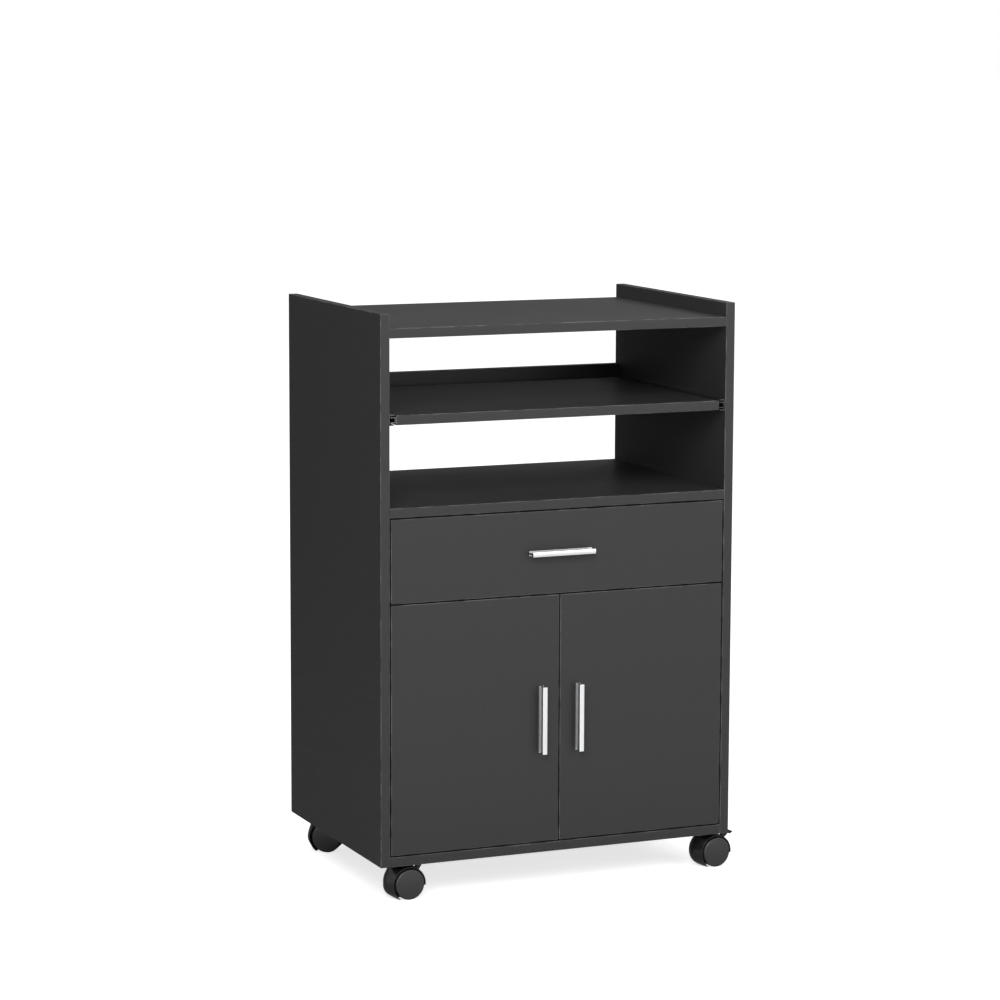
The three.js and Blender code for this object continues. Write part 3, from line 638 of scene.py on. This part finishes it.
def doors():
    """Doors with the bores that the hinge cups sit in."""
    for side, sign in SIDES.items():
        node = f"door_{side}"
        low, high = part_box(node)
        hinge_edge = (low.x if sign < 0 else high.x) / MM
        x = hinge_edge - sign * CUP_FROM_DOOR_EDGE
        inner_face = high.y / MM
        floor_y, end_y = inner_face - CUP_BORE_DEPTH, inner_face + CUP_BORE_SPARE
        bores = []
        for level in HINGE_LEVELS:
            z = joint[f"hinge_link_turn_{level}_{side}"]["pos_m"][2] / MM
            bores.append(cylinder(x, z, CUP_BORE_RADIUS, floor_y, end_y, steps=64))
        solid = combined(board_mesh(low, high), bores, "DIFFERENCE")
        finished(f"{node}_board", solid, [node], ANTHRACITE)


# ------------------------------------------------------------------ handles


def handle_section(width, depth):
    """H-shaped section as (across, outwards) points, with a crowned face."""
    half = width / 2
    web = HANDLE_WEB / 2
    back = depth - HANDLE_FACE
    rim = depth - HANDLE_CROWN
    face = []
    for i in range(HANDLE_CROWN_STEPS + 1):
        t = i / HANDLE_CROWN_STEPS
        across = half * (1 - 2 * t)
        face.append((across, rim + HANDLE_CROWN * (1 - (2 * t - 1) ** 2)))
    return [
        (-half, 0),
        (half, 0),
        (half, HANDLE_BASE),
        (web, HANDLE_BASE),
        (web, back),
        (half, back),
        *face,
        (-half, back),
        (-web, back),
        (-web, HANDLE_BASE),
        (-half, HANDLE_BASE),
    ]


def paint_channel_shade(mesh, middle, cross_axis, low_y, high_y):
    """Sets a face attribute of painted shade on the faces between the bar's two flanges and on those turned to the
    front it stands on.

    The places are in millimetres. The base's outward face takes the painted shade in part.
    """
    painted_channel_shade = mesh.attributes.new("painted_channel_shade", "FLOAT", "FACE")
    base = (high_y - HANDLE_BASE + CHANNEL_BASE_LAP) * MM
    flange = (low_y + HANDLE_FACE * CHANNEL_FLANGE) * MM
    for face in mesh.polygons:
        centre = face.center
        between = flange < centre.y < base
        near_web = abs(centre[cross_axis] - middle * MM) < HANDLE_WEB * MM
        backwards = face.normal.y > ALONG_AXIS and centre.y < base
        forwards = face.normal.y < -ALONG_AXIS and centre.y > base - 2 * CHANNEL_BASE_LAP * MM
        # Painted shade: full between the flanges and on faces turned to the front, in part on the base's outward
        # face.
        shade_share = float((between and near_web) or backwards)
        painted_channel_shade.data[face.index].value = CHANNEL_BASE_SHADE if forwards else shade_share


def handles():
    """H-section bars, screwed on through the fronts."""
    for node, lying in (
        ("drawer_handle", True),
        ("door_handle_left", False),
        ("door_handle_right", False),
    ):
        low, high = [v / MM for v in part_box(node)]
        cross_axis = 2 if lying else 0
        middle = (low[cross_axis] + high[cross_axis]) / 2
        section = handle_section(high[cross_axis] - low[cross_axis], high.y - low.y)
        if lying:
            points = [(high.y - out, middle + across) for across, out in section]
            bar = extruded(points, low.x, high.x, "x", node)
        else:
            points = [(middle + across, high.y - out) for across, out in section]
            bar = extruded(points, low.z, high.z, "z", node)
        # The lying bar takes the aluminium with painted shade in its colour.
        metal = ALUMINIUM_LYING_PAINTED_DARKER if lying else ALUMINIUM_UPRIGHT
        bar = bevelled(bar, HANDLE_BEVEL, merge_flat=False)
        # Painted shade in the channel between the flanges.
        paint_channel_shade(bar, middle, cross_axis, low.y, high.y)
        finished(f"{node}_bar", bar, [node], metal)


# ------------------------------------------------------------------ slides


def rounded_sheet(node, width):
    """Copy of a bent sheet-metal node with its bends rounded and its sheared ends bare."""
    mesh = bevelled(cad_copy(node), width)
    bare = mesh.attributes.new("edge", "FLOAT", "FACE")
    for face in mesh.polygons:
        bare.data[face.index].value = 1.0 if abs(face.normal.y) > ALONG_AXIS else 0.0
    return mesh


def slides():
    """Rails and ball cages of the pull-out shelf and the drawer."""
    for prefix in ("shelf", "drawer"):
        for side in SIDES:
            for rail in ("outer", "inner"):
                node = f"{prefix}_{rail}_rail_{side}"
                mesh = rounded_sheet(node, RAIL_BEVEL)
                finished(f"{node}_steel", mesh, [node], BLACK_STEEL)
            cage = f"{prefix}_ball_cage_{side}"
            mesh = rounded_sheet(cage, CAGE_BEVEL)
            finished(f"{cage}_strip", mesh, [cage], ZINC_STEEL)


# ------------------------------------------------------------------ hinges


def hinges():
    """Cups, arms and links of the four concealed hinges."""
    for side in SIDES:
        for level in HINGE_LEVELS:
            for piece in ("cup", "arm", "link"):
                node = f"hinge_{piece}_{level}_{side}"
                mesh = bevelled(cad_copy(node), HINGE_BEVEL)
                finished(f"{node}_metal", mesh, [node], NICKEL_STEEL)


# ------------------------------------------------------------------ casters


def caster_place(corner):
    """Place of a caster's own frame: swivel axis at the floor, wheels trailing along its X."""
    swivel = joint[f"caster_swivel_{corner}"]["pos_m"]
    axle = joint[f"wheel_spin_rear_{corner}"]["axis"]
    turn = math.atan2(-axle[0], axle[1])
    return Matrix.Translation((swivel[0], swivel[1], 0)) @ Matrix.Rotation(turn, 4, "Z")


def wheel_mesh(outwards):
    """Nylon wheel turned about Y, its closed face towards outwards, centred on its axle."""
    half = WHEEL_WIDTH / 2
    rim = half - WHEEL_DOME
    profile = [
        (0, -half + WHEEL_BORE_DEPTH),
        (WHEEL_BORE, -half + WHEEL_BORE_DEPTH),
        (WHEEL_BORE, -half),
        (WHEEL_HUB, -half),
        (WHEEL_HUB, -half + WHEEL_RECESS),
        (WHEEL_RADIUS - WHEEL_TREAD_WALL, -half + WHEEL_RECESS),
        (WHEEL_RADIUS - WHEEL_TREAD_WALL, -half),
        (WHEEL_RADIUS - WHEEL_INNER_EDGE, -half),
        (WHEEL_RADIUS, -half + WHEEL_INNER_EDGE),
    ]
    for i in range(WHEEL_EDGE_STEPS + 1):
        angle = math.pi / 2 * i / WHEEL_EDGE_STEPS
        radius = WHEEL_RADIUS - WHEEL_EDGE * (1 - math.cos(angle))
        profile.append((radius, rim - WHEEL_EDGE * (1 - math.sin(angle))))
    face = WHEEL_RADIUS - WHEEL_EDGE
    for i in range(1, WHEEL_DOME_STEPS + 1):
        radius = face * (1 - i / WHEEL_DOME_STEPS)
        profile.append((radius, rim + WHEEL_DOME * (1 - (radius / face) ** 2)))
    mesh = turned(profile, steps=72, name="wheel")
    if outwards < 0:
        mesh.transform(Matrix.Rotation(math.pi, 4, "X"))
    return mesh


def convex(meshes, name):
    """Tight skin round several solids."""
    bm = bmesh.new()
    for mesh in meshes:
        bm.from_mesh(mesh)
    skin = bmesh.ops.convex_hull(bm, input=bm.verts, use_existing_faces=False)
    inside = set(skin["geom_interior"]) | set(skin["geom_unused"])
    buried = [v for v in inside if isinstance(v, bmesh.types.BMVert)]
    bmesh.ops.delete(bm, geom=buried, context="VERTS")
    hull_faces = {f for f in skin["geom"] if isinstance(f, bmesh.types.BMFace) and f.is_valid}
    bmesh.ops.delete(bm, geom=[f for f in bm.faces if f not in hull_faces], context="FACES")
    loose = [v for v in bm.verts if not v.link_faces]
    bmesh.ops.delete(bm, geom=loose, context="VERTS")
    return mesh_from(bm, name)


def crowned_drum(steps=96, rings=10):
    """Drum over both wheels, fuller in its middle than at its rims."""
    profile = [(0, -HOOD_HALF)]
    for i in range(-rings, rings + 1):
        across = i / rings
        profile.append((HOOD_OUTER - HOOD_CROWN * across * across, HOOD_HALF * across))
    profile.append((0, HOOD_HALF))
    middle = Vector((HOOD_MIDDLE, 0, WHEEL_RADIUS)) * MM
    return moved(turned(profile, steps, "drum"), Matrix.Translation(middle))


def kingpin_housing(steps=48, rings=24):
    """Rounded nose round the kingpin, two half-ellipses turned about the swivel axis."""
    profile = []
    for i in range(-rings, rings + 1):
        angle = math.pi / 2 * i / rings
        radius = 0 if abs(i) == rings else NOSE_RADIUS * math.cos(angle)
        height = NOSE_MIDDLE - NOSE_BOTTOM if i < 0 else NOSE_TOP - NOSE_MIDDLE
        profile.append((radius, -NOSE_MIDDLE - height * math.sin(angle)))
    return moved(turned(profile, steps, "nose"), Matrix.Rotation(-math.pi / 2, 4, "X"))


def pedal_slot():
    """Round-cornered opening that the pedal swings in."""
    left, right = PEDAL_SLOT
    r = PEDAL_SLOT_CORNER
    points = []
    for x, start in ((left + r, math.pi), (right - r, 1.5 * math.pi)):
        for i in range(PEDAL_SLOT_CORNER_STEPS + 1):
            angle = start + math.pi / 2 * i / PEDAL_SLOT_CORNER_STEPS
            points.append((x + r * math.cos(angle), PEDAL_SLOT_BOTTOM + r + r * math.sin(angle)))
    points += [(right, PEDAL_SLOT_TOP), (left, PEDAL_SLOT_TOP)]
    return extruded(points, -PEDAL_SLOT_HALF, PEDAL_SLOT_HALF, "y", "slot")


def hood_mesh(braked):
    """Hood over both wheels, blended into the kingpin's housing, with the pedal's slot."""
    neck = cylinder(0, 0, NECK_RADIUS, WHEEL_RADIUS, NECK_TOP, "z", steps=40)
    solid = convex([crowned_drum(), kingpin_housing(), neck], "hood")
    cuts = [
        cylinder(HOOD_MIDDLE, WHEEL_RADIUS, HOOD_INNER, HOOD_WEB_HALF, HOOD_ROOM_END),
        cylinder(HOOD_MIDDLE, WHEEL_RADIUS, HOOD_INNER, -HOOD_ROOM_END, -HOOD_WEB_HALF),
        extruded(HOOD_LOWER_EDGE, -HOOD_EDGE_END, HOOD_EDGE_END, "y", "below"),
        cylinder(0, 0, KINGPIN_BORE, KINGPIN_BORE_BOTTOM, KINGPIN_BORE_TOP, "z", steps=32),
    ]
    if braked:
        cuts.append(pedal_slot())
    shell = combined(solid, cuts, "DIFFERENCE")
    pins = [cylinder(TRAIL, WHEEL_RADIUS, AXLE_RADIUS, -AXLE_HALF, AXLE_HALF, steps=32)]
    if braked:
        ends = (-PEDAL_PIN_HALF, PEDAL_PIN_HALF)
        pins.append(cylinder(*PEDAL_PIVOT, PEDAL_PIN_RADIUS, *ends, steps=16))
    return bevelled(combined(shell, pins, "UNION"), HOOD_BEVEL)


def casters():
    """Wheels, hoods and plates at the four corners, and the front brake pedals."""
    hoods = {end: hood_mesh(end == "front") for end in ENDS}
    for end in ENDS:
        for side in SIDES:
            corner = f"{end}_{side}"
            place = caster_place(corner)
            for which, outwards in (("front", -1), ("rear", 1)):
                centre = Vector((TRAIL, outwards * WHEEL_MIDDLE, WHEEL_RADIUS)) * MM
                mesh = moved(wheel_mesh(outwards), place @ Matrix.Translation(centre))
                node = f"caster_wheel_{which}_{corner}"
                finished(f"{node}_tread", mesh, [node], WHEEL_NYLON)
            hood = f"caster_hood_{corner}"
            mesh = moved(hoods[end].copy(), place)
            finished(f"{hood}_moulding", mesh, [hood], BLACK_NYLON)
            plate = f"caster_plate_{corner}"
            mesh = bevelled(cad_copy(plate), PLATE_BEVEL)
            finished(f"{plate}_steel", mesh, [plate], BLACK_STEEL)
            if end == "front":
                pedal = f"brake_pedal_{corner}"
                mesh = bevelled(cad_copy(pedal), PEDAL_BEVEL, steps=3)
                finished(f"{pedal}_moulding", mesh, [pedal], BLACK_NYLON)


# ------------------------------------------------------------------ screws and nails


def fastener_head(radius, height):
    """Low domed head standing on the ground plane."""
    profile = [(0, 0), (radius, 0), (radius, HEAD_RIM * height)]
    for i in range(1, HEAD_DOME_STEPS + 1):
        angle = math.pi / 2 * i / HEAD_DOME_STEPS
        reach = radius * math.cos(angle) if i < HEAD_DOME_STEPS else 0
        profile.append((reach, height * (HEAD_RIM + (1 - HEAD_RIM) * math.sin(angle))))
    return moved(turned(profile, steps=20, name="head"), Matrix.Rotation(math.pi / 2, 4, "X"))


def screw_head():
    """Head of a screw, with a cross recess."""
    head = fastener_head(SCREW_HEAD_RADIUS, SCREW_HEAD_HEIGHT)
    arm = RECESS_REACH * SCREW_HEAD_RADIUS
    width = RECESS_HALF_WIDTH * SCREW_HEAD_RADIUS
    cross = [
        (-arm, -width), (-width, -width), (-width, -arm), (width, -arm), (width, -width),
        (arm, -width), (arm, width), (width, width), (width, arm), (-width, arm),
        (-width, width), (-arm, width),
    ]
    floor_height = RECESS_FLOOR * SCREW_HEAD_HEIGHT
    recess = extruded(cross, floor_height, 2 * SCREW_HEAD_HEIGHT, "z", "cross")
    return combined(head, [recess], "DIFFERENCE")


def scatter_tree():
    """Puts one shape on every given point, facing one way and each turned by chance."""
    tree = bpy.data.node_groups.new("set_fasteners", "GeometryNodeTree")
    for label, kind in (
        ("Places", "NodeSocketGeometry"),
        ("Fastener", "NodeSocketObject"),
        ("Facing", "NodeSocketVector"),
        ("Size", "NodeSocketFloat"),
        ("Seed", "NodeSocketInt"),
        ("Finish", "NodeSocketMaterial"),
    ):
        tree.interface.new_socket(label, in_out="INPUT", socket_type=kind)
    tree.interface.new_socket("Geometry", in_out="OUTPUT", socket_type="NodeSocketGeometry")
    w = Wires(tree)
    given = w.node("NodeGroupInput").outputs
    points = w.node("GeometryNodeMeshToPoints", {"Mesh": given["Places"]})
    shape = w.node("GeometryNodeObjectInfo", {"Object": given["Fastener"]})
    turn = w.node("FunctionNodeRandomValue", {"Seed": given["Seed"]}, data_type="FLOAT_VECTOR")
    least, greatest = turn.inputs[0], turn.inputs[1]
    least.default_value = (0, 0, 0)
    greatest.default_value = (0, 0, 2 * math.pi)
    pattern = {
        "Points": points.outputs[0],
        "Instance": shape.outputs["Geometry"],
        "Rotation": given["Facing"],
        "Scale": given["Size"],
    }
    placed = w.node("GeometryNodeInstanceOnPoints", pattern).outputs[0]
    turning = {"Instances": placed, "Rotation": turn.outputs[0]}
    spun = w.node("GeometryNodeRotateInstances", turning).outputs[0]
    real = w.node("GeometryNodeRealizeInstances", {0: spun}).outputs[0]
    finish = {"Geometry": real, "Material": given["Finish"]}
    dressed = w.node("GeometryNodeSetMaterial", finish).outputs[0]
    w.feed(w.node("NodeGroupOutput").inputs[0], dressed)
    return tree


FASTENER_TREE = scatter_tree()
FACING_DOWN = (math.pi, 0, 0)
FACING_BACK = (-math.pi / 2, 0, 0)
PLATE_SCREW_SEED = 3
CUP_SCREW_SEED = 5
ARM_SCREW_SEED = 8
HANDLE_SCREW_SEED = 11
NAIL_SEED = 17


def fasteners(name, body, places, facing, shape, seed, material):
    """One mesh of equal fasteners at places in millimetres, on one body."""
    base = bpy.data.meshes.new(name)
    base.from_pydata([Vector(place) * MM for place in places], [], [])
    holder = temporary(base)
    pattern = temporary(shape)
    step = holder.modifiers.new("set_fasteners", "NODES")
    step.node_group = FASTENER_TREE
    values = {"Fastener": pattern, "Facing": facing, "Size": 1.0, "Seed": seed, "Finish": material}
    for item in FASTENER_TREE.interface.items_tree:
        if item.in_out == "INPUT" and item.name in values:
            step[item.identifier] = values[item.name]
    whole = evaluated_mesh(holder)
    bpy.data.objects.remove(holder)
    bpy.data.objects.remove(pattern)
    return finished(name, whole, [], material, body)


def middle_mm(node):
    """Middle of a CAD node's box, in millimetres."""
    low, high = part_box(node)
    return (low + high) / 2 / MM


def corner_places(centre, reach, level):
    """Corners of a level square round a point."""
    signs = ((-1, -1), (-1, 1), (1, -1), (1, 1))
    return [(centre.x + a * reach, centre.y + b * reach, level) for a, b in signs]


def plate_screws():
    """Four screws up through each caster's plate."""
    places = []
    for end in ENDS:
        for side in SIDES:
            swivel = Vector(joint[f"caster_swivel_{end}_{side}"]["pos_m"]) / MM
            places += corner_places(swivel, PLATE_SCREW_REACH, PLATE_UNDERSIDE)
    fasteners(
        "caster_plate_screws", "carcass", places, FACING_DOWN, screw_head(), PLATE_SCREW_SEED,
        ZINC_STEEL,
    )


def hinge_screws():
    """Two screws through each hinge cup's flange and two through each arm's plate."""
    head = screw_head()
    front_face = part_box("side_panel_left")[0].y / MM
    for count, (side, sign) in enumerate(SIDES.items()):
        cup_places, arm_places = [], []
        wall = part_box(f"side_panel_{side}")[1 if sign < 0 else 0].x / MM
        plate_face = wall - sign * ARM_PLATE_THICKNESS
        for level in HINGE_LEVELS:
            cup = middle_mm(f"hinge_cup_{level}_{side}")
            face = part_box(f"hinge_cup_{level}_{side}")[1].y / MM
            for way in (-1, 1):
                cup_places.append((cup.x, face, cup.z + way * CUP_SCREW_REACH))
                arm_z = cup.z + way * ARM_SCREW_REACH
                arm_places.append((plate_face, front_face + ARM_SCREW_Y, arm_z))
        fasteners(
            f"hinge_cup_screws_{side}", f"door_{side}", cup_places, FACING_BACK, head,
            CUP_SCREW_SEED + count, NICKEL_STEEL,
        )
        inwards = (0, -sign * math.pi / 2, 0)
        fasteners(
            f"hinge_arm_screws_{side}", "carcass", arm_places, inwards, head,
            ARM_SCREW_SEED + count, NICKEL_STEEL,
        )


def handle_screws():
    """Heads on the inner faces of the fronts, behind the handles."""
    head = screw_head()
    fixings = (
        ("drawer_handle", "drawer_front", 0),
        ("door_handle_left", "door_left", 2),
        ("door_handle_right", "door_right", 2),
    )
    for count, (handle, front, axis) in enumerate(fixings):
        bar = middle_mm(handle)
        bar.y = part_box(front)[1].y / MM
        places = []
        for way in (-1, 1):
            place = bar.copy()
            place[axis] += way * HANDLE_SCREW_SPACING / 2
            places.append(place)
        fasteners(
            f"{handle}_screws", body_of[front], places, FACING_BACK, head,
            HANDLE_SCREW_SEED + count, ZINC_STEEL,
        )


def back_nails():
    """Nails round the back panel: lying rows from corner to corner, upright rows between."""
    low, high = [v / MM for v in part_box("back_panel")]
    places = []
    for axis, other in ((0, 2), (2, 0)):
        span = high[axis] - low[axis] - 2 * NAIL_INSET
        count = round(span / NAIL_PITCH)
        steps = list(range(count + 1)) if axis == 0 else [i + 0.5 for i in range(count)]
        for edge in (low[other] + NAIL_INSET, high[other] - NAIL_INSET):
            for step in steps:
                place = Vector((0, high.y, 0))
                place[axis] = low[axis] + NAIL_INSET + span * step / count
                place[other] = edge
                places.append(place)
    fasteners(
        "back_panel_nails", "carcass", places, FACING_BACK,
        fastener_head(NAIL_HEAD_RADIUS, NAIL_HEAD_HEIGHT), NAIL_SEED, ZINC_STEEL,
    )


# ------------------------------------------------------------------ stage


PICTURE_PIXELS = 1000
FOCAL_PIXELS = 3353
SENSOR_WIDTH = 36
CAMERA_PITCH = 0.1425
CAMERA_YAW = 0.4084
CAMERA_ROLL = 0.00371
CAMERA_FROM_CORNER = (-1802, -4613, 1275)  # from the left panel's front foot, mm
CAMERA_NEAR = 0.1
CAMERA_FAR = 200

# Name, place, point aimed at, side of the square in metres, power in watts
LAMPS = (
    ("key", (1.7, -3.3, 1.9), (0.0, 0.0, 0.5), 3.0, 56),
    ("side", (-1.6, -2.8, 2.4), (0.0, 0.0, 0.6), 1.6, 84),
    ("fill", (2.4, 1.8, 2.8), (0.0, 0.0, 0.5), 2.0, 18),
    ("top", (0.0, 0.6, 3.4), (0.0, 0.0, 0.6), 2.2, 32),
)

WHITE = (1.0, 1.0, 1.0, 1.0)
FLOOR_REACH = 60
FLOOR_GRID = 8
FLOOR_ROUGHNESS = 0.7
MOTTLE_FREQUENCY = 1.5
WORLD_LIT = 0.12  # world's strength for scattered light

# Ranges of a value and what they turn into: (from low, from high, to low, to high)
WORLD_FRONT = (-0.6, 0.4, 0.13, 0.9)  # mirrored world, from the back to the front
WORLD_LEFT = (0.3, 0.9, 1.0, 2.6)  # gain of the mirrored world towards the left
FLOOR_MOTTLE = (0.0, 1.0, 0.84, 0.88)  # floor's tone over a slow noise
FLOOR_BOUNCE = (0.0, 1.0, 0.6, 0.24)  # part of its tone for scattered and for mirrored light
FLOOR_GLOW = (0.9, 2.4, 0.74, 1.0)  # floor's own light, over the distance in metres
FLOOR_FRONT = (-0.7, 0.1, 0.75, 0.0)  # mirrored floor, from the front to the back
FLOOR_LEFT = (-1.8, -0.6, 4.0, 1.0)  # gain of the mirrored floor towards the left


def camera():
    """Camera solved from the photographed cabinet's corners."""
    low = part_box("side_panel_left")[0]
    data = bpy.data.cameras.new("camera")
    data.sensor_width = SENSOR_WIDTH
    data.lens = FOCAL_PIXELS * data.sensor_width / PICTURE_PIXELS
    data.clip_start = CAMERA_NEAR
    data.clip_end = CAMERA_FAR
    eye = bpy.data.objects.new("camera", data)
    eye.location = low + Vector(CAMERA_FROM_CORNER) * MM
    turn = Matrix.Rotation(-CAMERA_YAW, 3, "Z")
    tilt = Matrix.Rotation(math.pi / 2 - CAMERA_PITCH, 3, "X")
    lean = Matrix.Rotation(CAMERA_ROLL, 3, "Z")
    eye.rotation_euler = (turn @ tilt @ lean).to_euler()
    bpy.context.scene.collection.objects.link(eye)
    bpy.context.scene.camera = eye


def area_lamp(name, place, target, side, power):
    """Square lamp aimed at a point."""
    data = bpy.data.lights.new(name, "AREA")
    data.shape = "RECTANGLE"
    data.size = side
    data.size_y = side
    data.energy = power
    lamp = bpy.data.objects.new(name, data)
    lamp.location = place
    aim = Vector(target) - Vector(place)
    lamp.rotation_euler = aim.to_track_quat("-Z", "Y").to_euler()
    bpy.context.scene.collection.objects.link(lamp)


def ray_kinds(w):
    """Masks of the camera's rays, also through a clear surface, and of mirrored rays."""
    path = w.node("ShaderNodeLightPath").outputs
    direct = w.math("MAXIMUM", path["Is Camera Ray"], path["Is Transmission Ray"])
    return direct, path["Is Glossy Ray"]


def mirrored_light(w, glossy, place, front, left):
    """Brightness for mirrored rays alone, by how far to the front and to the left."""
    parts = w.node("ShaderNodeSeparateXYZ", {0: place}).outputs
    return w.product(glossy, w.product(w.ramp(parts["Y"], *front), w.ramp(parts["X"], *left)))


def studio():
    """Lamps, and a world: white to the camera, brightest in front and left to mirrored rays."""
    world = bpy.data.worlds.new("studio")
    bpy.context.scene.world = world
    world.use_nodes = True
    w = Wires(world.node_tree)
    direct, glossy = ray_kinds(w)
    backwards = w.node("ShaderNodeNewGeometry").outputs["Normal"]  # against the ray
    mirrored = mirrored_light(w, glossy, backwards, WORLD_FRONT, WORLD_LEFT)
    lit = w.product(w.math("SUBTRACT", 1.0, glossy), WORLD_LIT)
    background = world.node_tree.nodes["Background"]
    background.inputs["Color"].default_value = WHITE
    strength = w.math("MAXIMUM", direct, w.math("ADD", mirrored, lit))
    w.feed(background.inputs["Strength"], strength)
    for lamp in LAMPS:
        area_lamp(*lamp)


def floor():
    """Pale floor that takes soft shadows near the cart and turns white further off."""
    bm = bmesh.new()
    bmesh.ops.create_grid(bm, x_segments=FLOOR_GRID, y_segments=FLOOR_GRID, size=FLOOR_REACH)
    mesh = mesh_from(bm, "floor")
    if mesh.polygons[0].normal.z < 0:
        mesh.flip_normals()
    pale, w, shader = surface("pale_floor", Roughness=FLOOR_ROUGHNESS)
    place = w.object_place()
    direct, glossy = ray_kinds(w)
    mottle = w.ramp(w.noise(place, MOTTLE_FREQUENCY, detail=3.0), *FLOOR_MOTTLE)
    tone = w.product(mottle, w.math("MAXIMUM", direct, w.ramp(glossy, *FLOOR_BOUNCE)))
    color = w.node("ShaderNodeCombineColor", {0: tone, 1: tone, 2: tone}).outputs[0]
    w.feed(shader.inputs["Base Color"], color)
    distance = w.node("ShaderNodeVectorMath", {0: place}, operation="LENGTH").outputs["Value"]
    glow = w.product(direct, w.ramp(distance, *FLOOR_GLOW))
    mirrored = mirrored_light(w, glossy, place, FLOOR_FRONT, FLOOR_LEFT)
    shine = {"Color": WHITE, "Strength": w.math("MAXIMUM", glow, mirrored)}
    shining = w.node("ShaderNodeEmission", shine).outputs[0]
    lit = w.node("ShaderNodeAddShader", {0: shader.outputs[0], 1: shining}).outputs[0]
    w.feed(pale.node_tree.nodes["Material Output"].inputs["Surface"], lit)
    mesh.materials.append(pale)
    obj = bpy.data.objects.new("floor", mesh)
    bpy.context.scene.collection.objects.link(obj)


boards()
doors()
handles()
slides()
hinges()
casters()
plate_screws()
hinge_screws()
handle_screws()
back_nails()
camera()
studio()
floor()
bpy.context.scene.view_settings.view_transform = "Standard"
